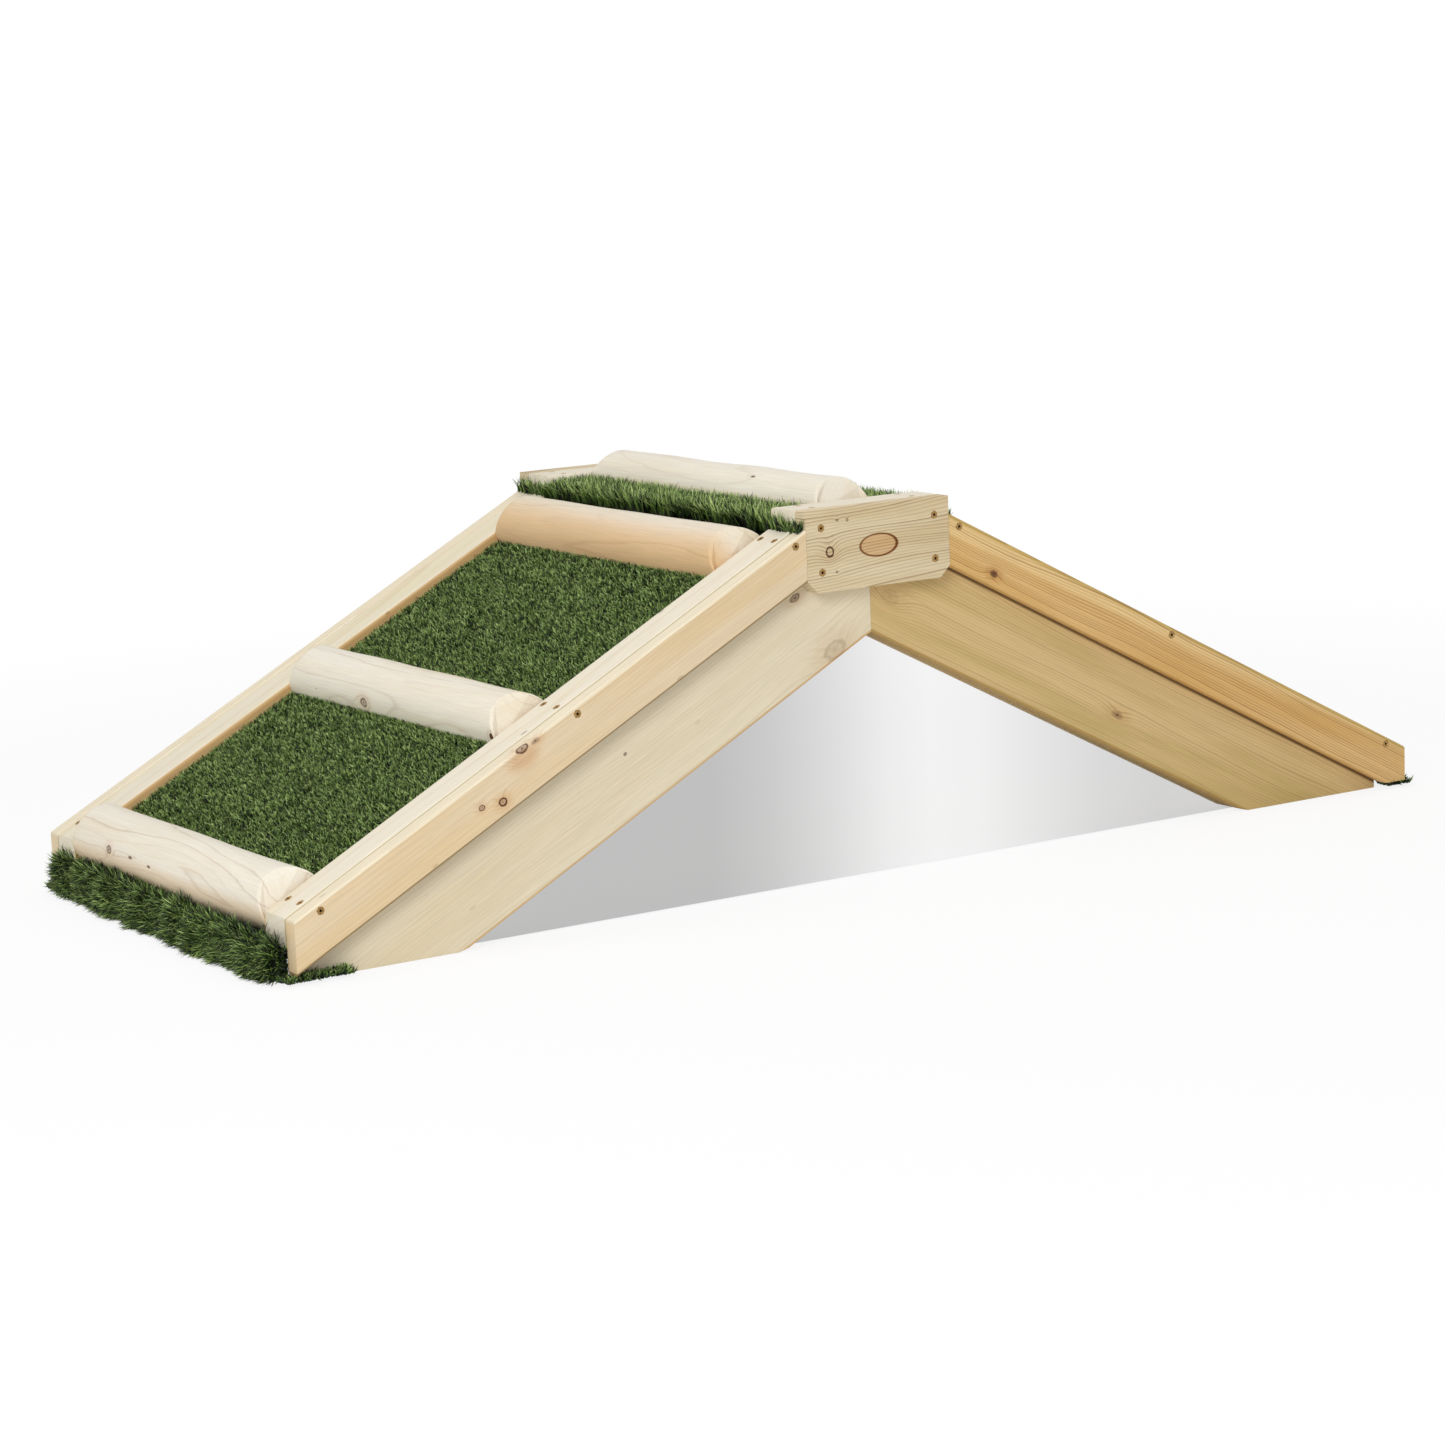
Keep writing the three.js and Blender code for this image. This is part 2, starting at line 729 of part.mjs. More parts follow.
function buildMirror(edge) {
  const gable = new THREE.Group();
  const direction = edge === 'near' ? -1 : 1;
  const mirror_back = board_inner - fit_gap - mirror_thickness;
  const backing_back = mirror_back - fit_gap - backing_thickness;
  const [mirror_low, mirror_high] = span(direction, mirror_back, mirror_back + mirror_thickness);
  const mirror = prism(gableOutline(mirror_overlap), mirror_low, mirror_high);
  add(gable, 'mirror_' + edge, mirror, mirrorSheet());
  const [backing_low, backing_high] = span(direction, backing_back, backing_back + backing_thickness);
  const backing = prism(gableOutline(backing_overlap), backing_low, backing_high);
  add(gable, 'mirror_backing_' + edge, backing, plywood());
  return gable;
}

// Assembly: the right half is built like the left one and turned half round. The
// right ramp runs a little further out, so the origin lies between the two ends.

const centred = new THREE.Group();
centred.add(buildRamp('left', left_length));
const right_half = new THREE.Group();
right_half.add(buildRamp('right', right_length));
right_half.rotation.z = Math.PI;
centred.add(right_half);
centred.add(buildLanding());
centred.add(buildMirror('near'));
centred.add(buildMirror('far'));
centred.position.x = (left_length - right_length) / 2;

const a_frame = new THREE.Group();
a_frame.add(centred);

export default a_frame;
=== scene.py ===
import math
import random
from functools import partial

import bmesh
import bpy
from mathutils import Matrix, Vector


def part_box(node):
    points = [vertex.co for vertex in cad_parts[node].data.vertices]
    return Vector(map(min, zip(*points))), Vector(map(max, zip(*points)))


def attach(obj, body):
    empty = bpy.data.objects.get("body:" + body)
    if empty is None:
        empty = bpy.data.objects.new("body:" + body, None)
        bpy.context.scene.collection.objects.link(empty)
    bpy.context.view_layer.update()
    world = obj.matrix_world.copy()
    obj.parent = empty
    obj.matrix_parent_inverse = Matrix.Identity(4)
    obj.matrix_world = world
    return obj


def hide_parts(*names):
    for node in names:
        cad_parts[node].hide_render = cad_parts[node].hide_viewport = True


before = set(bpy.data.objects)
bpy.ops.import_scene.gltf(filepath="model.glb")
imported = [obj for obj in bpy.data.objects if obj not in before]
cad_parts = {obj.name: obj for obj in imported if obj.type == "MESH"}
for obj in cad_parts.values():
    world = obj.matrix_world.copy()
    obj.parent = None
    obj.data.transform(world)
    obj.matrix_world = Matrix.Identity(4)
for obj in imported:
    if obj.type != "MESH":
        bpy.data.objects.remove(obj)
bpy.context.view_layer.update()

# Camera: a long lens, low and well to the left. Its place and its turns were solved from
# the frame's own edges in a picture 1445 pixels wide.
view_position = Vector((-2.407447, -3.745354, 0.917953))
view_yaw = 0.565169
view_pitch = 0.173625
view_roll = -0.040592
focal_pixels = 3850.387
image_pixels = 1445
sensor_width = 36.0


def new_object(name, data):
    """An object of its data, linked to the scene."""
    made = bpy.data.objects.new(name, data)
    bpy.context.collection.objects.link(made)
    return made


camera_data = bpy.data.cameras.new("camera")
camera_data.sensor_width = sensor_width
camera_data.lens = sensor_width * focal_pixels / image_pixels
camera_data.clip_end = 100.0
camera = new_object("camera", camera_data)
bpy.context.scene.camera = camera
bpy.context.scene.view_settings.view_transform = "Standard"
level = Matrix.Rotation(-view_yaw, 4, "Z") @ Matrix.Rotation(math.pi / 2 - view_pitch, 4, "X")
camera.matrix_world = Matrix.Translation(view_position) @ level @ Matrix.Rotation(view_roll, 4, "Z")

# Studio: a white floor and a white surround, lit evenly by the sky and a little more by
# two large soft lamps, above and beside the camera. What the camera and the mirrors see
# of the floor is lifted towards white, fully so away from the frame and its shadow.
sky_level = 0.55
floor_lift = 0.85
shadow_reach = 1.0
white_from = 2.2


def linear(colour):
    """An sRGB hex colour as linear RGBA."""
    parts = [int(colour[i : i + 2], 16) / 255 for i in (1, 3, 5)]
    return tuple(c / 12.92 if c <= 0.04045 else ((c + 0.055) / 1.055) ** 2.4 for c in parts) + (1.0,)


def set_inputs(node, inputs):
    """Gives the inputs of a node, by name or in their order, a value or a link."""
    for key, value in inputs.items() if isinstance(inputs, dict) else enumerate(inputs):
        if isinstance(value, bpy.types.NodeSocket):
            node.id_data.links.new(value, node.inputs[key])
        else:
            node.inputs[key].default_value = value


def add_node(tree, kind, inputs=(), output=0, **settings):
    """Adds a node to a tree with its settings, a shader node by its short name.

    Hands back one of its outputs, or with output=None the node. The inputs of a MapRange are
    its value, where that starts and ends, and what these become.
    """
    made = tree.nodes.new(kind if "Node" in kind else "ShaderNode" + kind)
    for key, value in settings.items():
        setattr(made, key, value)
    set_inputs(made, inputs)
    return made.outputs[output] if output is not None and made.outputs else made


def looked_at(add):
    """1 for the rays that come straight from the camera or off metal or through glass."""
    path = add("LightPath", output=None).outputs
    seen = add("Math", (path["Is Camera Ray"], path["Is Glossy Ray"]), operation="ADD")
    return add("Math", (seen, path["Is Transmission Ray"]), operation="ADD", use_clamp=True)


world = bpy.data.worlds.new("white surround")
bpy.context.scene.world = world
world.use_nodes = True
add = partial(add_node, world.node_tree)
strength = add("MapRange", (looked_at(add), 0.0, 1.0, sky_level))
set_inputs(world.node_tree.nodes["Background"], {"Color": linear("#ffffff"), "Strength": strength})


def soft_lamp(name, place, target, size, power):
    """A round area lamp that looks from its place at its target."""
    lamp = bpy.data.lights.new(name, "AREA")
    lamp.shape = "DISK"
    lamp.size = size
    lamp.energy = power
    holder = new_object(name, lamp)
    holder.location = place
    holder.rotation_euler = (Vector(target) - Vector(place)).to_track_quat("-Z", "Y").to_euler()


soft_lamp("overhead lamp", (-0.5, -0.2, 3.4), (0.0, 0.0, 0.2), 2.2, 19.0)
soft_lamp("side lamp", (-3.2, -3.0, 2.4), (0.0, 0.0, 0.2), 2.0, 92.0)


def new_material(name):
    """A material, what adds a node to it, and its shader."""
    made = bpy.data.materials.new(name)
    made.use_nodes = True
    return made, partial(add_node, made.node_tree), made.node_tree.nodes["Principled BSDF"]


def new_mesh(name, points, faces=()):
    """A mesh of its points and faces."""
    made = bpy.data.meshes.new(name)
    made.from_pydata([tuple(point) for point in points], [], faces)
    return made


floor_half = 20.0
floor_drop = 0.0004
corners = [(x * floor_half, y * floor_half, -floor_drop) for x, y in ((-1, -1), (1, -1), (1, 1), (-1, 1))]
floor = new_object("floor", new_mesh("floor", corners, [(0, 1, 2, 3)]))
floor_paint, add, shader = new_material("matt white floor")
set_inputs(shader, {"Base Color": linear("#f7f7f7"), "Roughness": 0.95})
white = add("Emission", {"Color": linear("#ffffff")})
place = add("TexCoord", output="Object")
away = add("VectorMath", (place,), "Value", operation="LENGTH")
lift = add("MapRange", (away, shadow_reach, white_from, floor_lift), interpolation_type="SMOOTHSTEP")
lift = add("Math", (looked_at(add), lift), operation="MULTIPLY")
lifted = add("MixShader", (lift, shader.outputs[0], white))
set_inputs(floor_paint.node_tree.nodes["Material Output"], {"Surface": lifted})
floor.data.materials.append(floor_paint)

# Rails: planed, nearly white softwood, four along the edges of the ramps and two on the
# landing, screwed down. The right ramp reaches 34 mm further than the left. The rails'
# inner faces are left rough and have gone orange, and resin shows at the fascias.
slope = math.radians(27.6)
turn_of = {"left": (0.0, slope, 0.0), "right": (0.0, -slope, 0.0), "level": (0.0, 0.0, 0.0)}
downhill = {"left": -1, "right": 1}
outward = {"near": -1, "far": 1}
crown_height = 0.45
crown = Vector((sum(corner.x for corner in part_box("ridge_log")) / 2, 0.0, crown_height))
rail_inner = 0.242


def new_group(name, kind, inputs, outputs):
    """A node group, what adds a node to it, and what it is given, as kinds with names."""
    tree = bpy.data.node_groups.new(name, kind + "NodeTree")
    for in_out, sockets in (("INPUT", inputs), ("OUTPUT", outputs)):
        for socket, names in sockets.items():
            for name in names:
                tree.interface.new_socket(name=name, in_out=in_out, socket_type="NodeSocket" + socket)
    add = partial(add_node, tree)
    return tree, add, add("NodeGroupInput", output=None).outputs


def build_knot_group():
    """One knot in a board: a dark rim, a core, and rings that swerve round it.

    Place and centre are along the grain, and warp, core and halo add to what comes in.
    """
    marks = ("Warp", "Core", "Halo")
    inputs = {"Vector": ("Place", "Centre", "Shape"), "Float": ("Radius", "Inside", "Rim", "Glow", *marks)}
    tree, add, given = new_group("knot", "Shader", inputs, {"Float": marks})
    away = add("VectorMath", (given["Place"], given["Centre"]), operation="SUBTRACT")
    away = add("VectorMath", (away, given["Shape"]), operation="MULTIPLY")
    length = add("VectorMath", (away,), "Value", operation="LENGTH")
    rough = add("TexNoise", {"Vector": given["Place"], "Scale": 260.0, "Detail": 1.0})
    reach = add("Math", (rough, 0.5, length), operation="MULTIPLY_ADD")
    reach = add("Math", (reach, 0.25), operation="SUBTRACT")
    rim = add("Math", (reach, 1.0), operation="SUBTRACT")
    rim = add("Math", (rim,), operation="ABSOLUTE")
    rim = add("MapRange", (rim, 0.34, 0.12, 0.0, given["Rim"]), interpolation_type="SMOOTHSTEP")
    core = add("MapRange", (reach, 1.1, 0.8, 0.0, given["Inside"]), interpolation_type="SMOOTHSTEP")
    middle = add("Math", (given["Inside"], 2.0), operation="MULTIPLY", use_clamp=True)
    eye = add("MapRange", (reach, 0.45, 0.2, 0.0, middle), interpolation_type="SMOOTHSTEP")
    mark = given["Core"]
    for part in (core, rim, eye):
        mark = add("Math", (mark, part), operation="MAXIMUM")
    halo = add("MapRange", (reach, 4.0, 1.0, 0.0, given["Glow"]), interpolation_type="SMOOTHSTEP")
    halo = add("Math", (halo, given["Halo"]), operation="MAXIMUM")
    fall = add("Math", (reach, reach), operation="MULTIPLY")
    fall = add("Math", (fall, -0.14), operation="MULTIPLY")
    fall = add("Math", (fall,), operation="EXPONENT")
    push = add("Math", (given["Radius"], 1.8), operation="MULTIPLY")
    warp = add("Math", (fall, push, given["Warp"]), operation="MULTIPLY_ADD")
    add("NodeGroupOutput", {"Warp": warp, "Core": mark, "Halo": halo})
    return tree


def build_softwood_group():
    """Sawn softwood along X: yearly rings round a wandering pith, fibres, streaks and flecks.

    Ring lines are 2 to 13 mm apart. The real fibres are a tenth of a millimetre wide and are
    drawn as streaks of about 1 mm, so that they show.
    """
    floats = ("Seed", "Ring width", "Wander", "Contrast", "Sharpness", "Flecks", "Warp", "Core", "Halo")
    inputs = {"Vector": ("Place", "Pith"), "Float": floats, "Color": ("Early wood", "Late wood", "Patch")}
    outputs = {"Color": ("Colour",), "Float": ("Roughness", "Height")}
    tree, add, given = new_group("sawn softwood", "Shader", inputs, outputs)
    seed = given["Seed"]
    place = add("VectorMath", (given["Place"], given["Pith"]), operation="SUBTRACT")
    slow = add("VectorMath", (place, (1.8, 8.0, 8.0)), operation="MULTIPLY")
    drift = {"Vector": slow, "W": seed, "Scale": 1.0, "Detail": 2.0}
    drift = add("TexNoise", drift, "Color", noise_dimensions="4D")
    drift = add("VectorMath", (drift, (0.5, 0.5, 0.5)), operation="SUBTRACT")
    drift = add("VectorMath", {0: drift, "Scale": given["Wander"]}, operation="SCALE")
    bent = add("VectorMath", (place, drift), operation="ADD")
    bent = add("VectorMath", (bent, (0.0, 1.0, 1.0)), operation="MULTIPLY")
    radius = add("VectorMath", (bent,), "Value", operation="LENGTH")
    radius = add("Math", (radius, given["Warp"]), operation="ADD")
    years = add("Math", (radius, given["Ring width"]), operation="DIVIDE")
    ragged = add("VectorMath", (place, (14.0, 160.0, 160.0)), operation="MULTIPLY")
    ragged = add("TexNoise", {"Vector": ragged, "Scale": 1.0, "Detail": 2.0})
    years = add("Math", (ragged, 0.4, years), operation="MULTIPLY_ADD")
    season = add("Math", (years,), operation="FRACT")
    late = add("Math", (season, given["Sharpness"]), operation="POWER")
    edge = add("MapRange", (season, 1.0, 0.9), interpolation_type="SMOOTHSTEP")
    late = add("Math", (late, edge), operation="MULTIPLY")
    year = add("Math", (years,), operation="FLOOR")
    year = add("TexWhiteNoise", {"W": year}, noise_dimensions="1D")
    year = add("Math", (year, 0.95, 0.2), operation="MULTIPLY_ADD")
    ring = add("Math", (late, year), operation="MULTIPLY")
    swirl = add("Math", (given["Halo"], 2.5, 1.0), operation="MULTIPLY_ADD")
    line = add("Math", (ring, given["Contrast"]), operation="MULTIPLY")
    line = add("Math", (line, swirl), operation="MULTIPLY", use_clamp=True)
    fine = add("VectorMath", (place, (22.0, 900.0, 900.0)), operation="MULTIPLY")
    fibre = {"Vector": fine, "W": seed, "Scale": 1.0, "Detail": 3.0, "Roughness": 0.6}
    fibre = add("TexNoise", fibre, noise_dimensions="4D")
    broad = add("VectorMath", (place, (2.6, 26.0, 26.0)), operation="MULTIPLY")
    patch = add("TexNoise", {"Vector": broad, "W": seed, "Scale": 1.0, "Detail": 4.0}, noise_dimensions="4D")
    patch = add("MapRange", (patch, 0.38, 0.66), interpolation_type="SMOOTHSTEP")
    cells = add("VectorMath", (place, (12.0, 30.0, 30.0), seed), operation="MULTIPLY_ADD")
    fleck = add("TexVoronoi", {"Vector": cells, "Scale": 1.0})
    fleck = add("MapRange", (fleck, 0.07, 0.04, 0.0, given["Flecks"]), interpolation_type="SMOOTHSTEP")
    colour = given["Early wood"]
    layers = [(patch, given["Patch"], "MIX"), (line, given["Late wood"], "MIX")]
    layers += [(given["Halo"], linear("#dfae78"), "MULTIPLY"), (given["Core"], linear("#5a3420"), "MIX")]
    layers += [(fleck, linear("#6e4a30"), "MIX")]
    for share, layer, blend in layers:
        colour = add("Mix", {0: share, 6: colour, 7: layer}, 2, data_type="RGBA", blend_type=blend)
    shade = add("MapRange", (fibre, 0.3, 0.7, 0.9, 1.04), clamp=False)
    colour = add("VectorMath", {0: colour, "Scale": shade}, operation="SCALE")
    rough = add("Math", (fibre, 0.25, 0.5), operation="MULTIPLY_ADD")
    height = add("Math", (line, 0.8, fibre), operation="MULTIPLY_ADD")
    add("NodeGroupOutput", {"Colour": colour, "Roughness": rough, "Height": height})
    return tree


knot_group = build_knot_group()
softwood_group = build_softwood_group()


def softwood(name, turn, pith, seed, colours, rings, knots=(), flecks=0.0, stains_and_shade=()):
    """Planed softwood whose grain lies along X once the part is turned by an Euler turn.

    Pith is the ring centre in turned coordinates, and rings are their width, wander, contrast
    and sharpness. A knot is its place in the frame, its radius, how long it is, and how
    strong its inside, its rim and the glow round it are. A band is its colour, a direction,
    where along that it starts and is full, and its strength; some bands are real stains and
    some are painted shade.
    """
    made, add, shader = new_material(name)
    frame_place = add("TexCoord", output="Object")
    place = add("Mapping", {"Vector": frame_place, "Rotation": turn})
    turning = Matrix.Rotation(turn[2], 3, "Z") @ Matrix.Rotation(turn[1], 3, "Y")
    marks = {"Warp": 0.0, "Core": 0.0, "Halo": 0.0}
    for spot, radius, stretch, inside, rim, glow in knots:
        values = {"Place": place, "Centre": turning @ Vector(spot), "Radius": radius}
        values.update({"Inside": inside, "Rim": rim, "Glow": glow})
        values["Shape"] = (1 / (radius * stretch), 1 / radius, 1 / radius)
        knot = add("Group", {**values, **marks}, None, node_tree=knot_group)
        marks = {key: knot.outputs[key] for key in marks}
    woods = {"Early wood": linear(colours[0]), "Late wood": linear(colours[1]), "Patch": linear(colours[2])}
    for stain_and_shade_colour, direction, start, full, strength in stains_and_shade:
        depth = add("VectorMath", (frame_place, direction), "Value", operation="DOT_PRODUCT")
        depth = add("MapRange", (depth, start, full, 0.0, strength), interpolation_type="SMOOTHSTEP")
        for wood in ("Early wood", "Patch"):
            mix = {0: depth, 6: woods[wood], 7: linear(stain_and_shade_colour)}
            woods[wood] = add("Mix", mix, 2, data_type="RGBA")
    width, wander, contrast, sharpness = rings
    values = {"Place": place, "Pith": pith, "Seed": seed, "Ring width": width, "Wander": wander}
    values.update({"Contrast": contrast, "Sharpness": sharpness, "Flecks": flecks, **marks, **woods})
    wood = add("Group", values, None, node_tree=softwood_group).outputs
    relief = add("Bump", {"Height": wood["Height"], "Strength": 0.35, "Distance": 0.0005})
    finish = {"Base Color": wood["Colour"], "Roughness": wood["Roughness"], "Normal": relief}
    set_inputs(shader, {**finish, "Specular IOR Level": 0.25})
    return made


def dress(node, material):
    """Gives a CAD node its finish."""
    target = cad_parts[node]
    if not target.data.materials:
        target.data.materials.append(material)
    for place in target.material_slots:
        place.material = material


def on_ramp(lie, depth):
    """The turned height of a plane that lies a depth under the rail tops of a ramp."""
    return crown.z * math.cos(slope) + downhill[lie] * crown.x * math.sin(slope) - depth


rail_outer = 0.2897
for seed, (lie, edge) in enumerate((lie, edge) for lie in downhill for edge in outward):
    out = outward[edge]
    finish = softwood(
        "planed rail softwood %s %s" % (edge, lie),
        turn_of[lie],
        (0.0, out * 0.30, on_ramp(lie, 0.09)),
        1.3 + seed,
        ("#ece3d0", "#d6bd92", "#e8ddbe"),
        (0.0048, 0.03, 0.4, 2.4),
        (),
        0.5,
        (
            ("#d6a765", (0.0, out, 0.0), rail_inner + 0.0022, rail_inner + 0.0006, 0.85),
            ("#9c8a42", (0.0, out, 0.0), rail_outer - 0.0024, rail_outer - 0.0012, 0.85),
        ),
    )
    dress("ramp_rail_%s_%s" % (edge, lie), finish)

rail_colours = ("#efe6d4", "#d8c09a", "#eadfc4")
rail_rings = (0.0045, 0.03, 0.35, 2.4)
for seed, (edge, out) in enumerate(outward.items()):
    name = "planed landing rail softwood " + edge
    pith = (0.0, out * 0.31, 0.34)
    finish = softwood(name, turn_of["level"], pith, 7.7 + seed, rail_colours, rail_rings)
    dress("landing_rail_" + edge, finish)

# Fascias: thin boards screwed over the edges of the ramp, 20 mm thick. The left ones are
# pale tan with small dark-rimmed knots, the right ones orange with strong dark grain.
left_fascia_knots = [
    ((-0.5273, -0.31, 0.1531), 0.0026, 1.2, 0.35, 0.9, 0.2),
    ((-0.5022, -0.31, 0.1559), 0.0038, 1.15, 0.3, 1.0, 0.3),
    ((-0.4765, -0.31, 0.2095), 0.0046, 1.5, 0.5, 0.9, 0.3),
    ((-0.4600, -0.31, 0.2150), 0.0026, 1.9, 0.45, 0.2, 0.3),
    ((-0.4750, -0.31, 0.1985), 0.0048, 1.6, 0.0, 0.0, 0.4),
]
right_fascia_knots = [((0.1381, -0.31, 0.3258), 0.0034, 1.4, 0.85, 0.6, 0.3)]
left_up = (-math.sin(slope), 0.0, math.cos(slope))
right_up = (math.sin(slope), 0.0, math.cos(slope))
# The pale band along the top of the right fascia gets narrower downhill
band_depth = 0.025
band_taper = 0.0214
band_blur = 0.004
band_up = Vector(right_up) - band_taper * Vector((math.cos(slope), 0.0, -math.sin(slope)))
band_edge = crown.dot(band_up) - band_depth
for edge, out in outward.items():
    near = edge == "near"
    finish = softwood(
        "planed left fascia softwood " + edge,
        turn_of["left"],
        (0.0, out * 0.365, on_ramp("left", 0.085)),
        2.1 if near else 5.4,
        ("#e6d2b1", "#c79a62", "#e3caa0"),
        (0.0034, 0.05, 0.34, 2.4),
        left_fascia_knots if near else (),
        0.25,
        (
            ("#e3bf8c", left_up, on_ramp("left", 0.040), on_ramp("left", 0.060), 0.3),
            # Painted shade: a dark line along the fascia's lower edge, where it overhangs the board
            ("#8f774c", left_up, on_ramp("left", 0.0476), on_ramp("left", 0.0486), 0.85),
            ("#efe5cc", left_up, on_ramp("left", 0.004), on_ramp("left", 0.001), 0.9),
        ),
    )
    dress("fascia_%s_left" % edge, finish)
    finish = softwood(
        "planed right fascia softwood " + edge,
        turn_of["right"],
        (0.0, out * 0.350, on_ramp("right", -0.03)),
        3.2 if near else 8.2,
        ("#e7c081", "#8a5a2c", "#ddb26d"),
        (0.0023, 0.05, 0.95, 2.0),
        right_fascia_knots if near else (),
        0.0,
        (
            ("#efcd90", band_up, band_edge, band_edge + band_blur, 1.0),
            ("#c9aa5e", right_up, on_ramp("right", 0.006), on_ramp("right", 0.003), 0.8),
        ),
    )
    dress("fascia_%s_right" % edge, finish)

# Side boards: the deep boards that stand on the ground under each fascia. Pressure
# treatment has left them greenish. A dark band in the corner under the fascias is
# painted shade, the fascias' contact shadow.
left_board_knots = [
    ((-0.0662, -0.2897, 0.2618), 0.0080, 1.6, 0.12, 0.25, 0.2),
    ((-0.1162, -0.2897, 0.3249), 0.0034, 1.7, 0.5, 0.7, 0.25),
    ((-0.3400, -0.2897, 0.1820), 0.0016, 1.2, 0.6, 0.8, 0.0),
]
right_board_knots = [
    ((0.0097, -0.2897, 0.3121), 0.0070, 1.5, 0.12, 0.12, 0.1),
    ((0.3239, -0.2897, 0.1396), 0.0036, 2.2, 0.45, 0.25, 0.2),
]
for edge, out in outward.items():
    near = edge == "near"
    finish = softwood(
        "treated left board softwood " + edge,
        turn_of["left"],
        (0.0, out * 0.345, on_ramp("left", 0.20)),
        4.7 if near else 6.1,
        ("#e8dcc1", "#c8b187", "#e2d4b3"),
        (0.0040, 0.07, 0.35, 2.4),
        left_board_knots if near else (),
        0.15,
        (
            ("#c99a52", left_up, on_ramp("left", 0.1500), on_ramp("left", 0.1528), 0.75),
            # Painted shade: the dark band just under the fascia, its contact shadow
            ("#6e5228", left_up, on_ramp("left", 0.0560), on_ramp("left", 0.0525), 0.7),
        ),
    )
    dress("side_board_%s_left" % edge, finish)
    finish = softwood(
        "treated right board softwood " + edge,
        turn_of["right"],
        (0.0, out * 0.345, on_ramp("right", 0.22)),
        9.3 if near else 10.6,
        ("#dcbf89", "#977540", "#c6ad70"),
        (0.0034, 0.06, 0.6, 2.4),
        right_board_knots if near else (),
        0.0,
        (
            ("#a8843f", right_up, on_ramp("right", 0.1495), on_ramp("right", 0.1525), 0.8),
            # Painted shade: the dark band just under the fascia, its contact shadow
            ("#5a3a14", right_up, on_ramp("right", 0.0550), on_ramp("right", 0.0525), 0.85),
        ),
    )
    dress("side_board_%s_right" % edge, finish)

# Apex plates: one board over the joint on each side, level, with cut lower corners. The
# near one has an oval pressed in, its edge burnt brown and its middle left bare.
plate_knots = [
    ((-0.0819, -0.31, 0.3736), 0.0052, 0.9, 0.06, 1.0, 0.1),
    ((-0.0713, -0.31, 0.4075), 0.0014, 1.2, 0.5, 0.6, 0.0),
    ((-0.0581, -0.31, 0.4062), 0.0014, 1.2, 0.5, 0.6, 0.0),
    ((-0.0737, -0.31, 0.3508), 0.0013, 1.2, 0.5, 0.7, 0.0),
]
oval_centre = Vector((crown.x, 0.0, 0.375))
oval_width = 0.050
oval_height = 0.025
for seed, (edge, out) in enumerate(outward.items()):
    finish = softwood(
        "planed plate softwood " + edge,
        turn_of["level"],
        (0.0, out * 0.34, 0.255),
        11.9 + seed,
        ("#e4d3b0", "#86622f", "#d8c39a"),
        (0.0040, 0.11, 1.05, 2.8),
        plate_knots if edge == "near" else (),
    )
    dress("apex_plate_" + edge, finish)


def fill_ramp(output, stops):
    """Gives a colour ramp its stops, each a share of the way and a hex colour."""
    ramp = output.node.color_ramp
    for share, _ in stops[1:-1]:
        ramp.elements.new(share)
    for element, (share, shade) in zip(ramp.elements, stops):
        element.position = share
        element.color = linear(shade)


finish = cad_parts["apex_plate_near"].material_slots[0].material
add = partial(add_node, finish.node_tree)
shader = finish.node_tree.nodes["Principled BSDF"]
wood_colour = shader.inputs["Base Color"].links[0].from_socket
place = add("TexCoord", output="Object")
share = add("VectorMath", (place, oval_centre), operation="SUBTRACT")
share = add("VectorMath", (share, (1 / oval_width, 0.0, 1 / oval_height)), operation="MULTIPLY")
share = add("VectorMath", (share,), "Value", operation="LENGTH")
burn = add("ValToRGB", (share,))
burn_stops = ((0.44, "#fbe6d2"), (0.465, "#b58660"), (0.49, "#85573a"), (0.51, "#a87c56"), (0.54, "#ffffff"))
fill_ramp(burn, burn_stops)
burnt = add("Mix", {0: 1.0, 6: wood_colour, 7: burn}, 2, data_type="RGBA", blend_type="MULTIPLY")
set_inputs(shader, {"Base Color": burnt})

# Bearers: rough-sawn battens across the frame under the decks and under the ridge, hidden
# from most sides.
across = (0.0, 0.0, -math.pi / 2)
bearer_colours = ("#e2cfa6", "#bb9a64", "#d8c092")
bearer_rings = (0.0045, 0.05, 0.6, 2.4)
for seed, node in enumerate(sorted(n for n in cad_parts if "bearer" in n)):
    name = "sawn bearer softwood %d" % (seed + 1)
    dress(node, softwood(name, across, (0.0, 0.1, 0.5), 20.5 + seed, bearer_colours, bearer_rings))

# Decks and mirror backings: softwood plywood, rotary cut, so its face grain swirls in wide
# bands. The decks lie under the turf and the backings carry the mirror sheets.
ply_colours = ("#d9bf90", "#b08a54", "#cfb07c")
ply_rings = (0.012, 0.2, 0.5, 2.4)
sheets = ("deck_left", "deck_right", "landing_deck", "mirror_backing_near", "mirror_backing_far")
for seed, node in enumerate(sheets):
    turn = turn_of.get(node.split("_")[1], turn_of["level"])
    name = "rotary cut plywood %d" % (seed + 1)
    dress(node, softwood(name, turn, (0.0, 0.1, 0.9), 30.2 + seed, ply_colours, ply_rings))

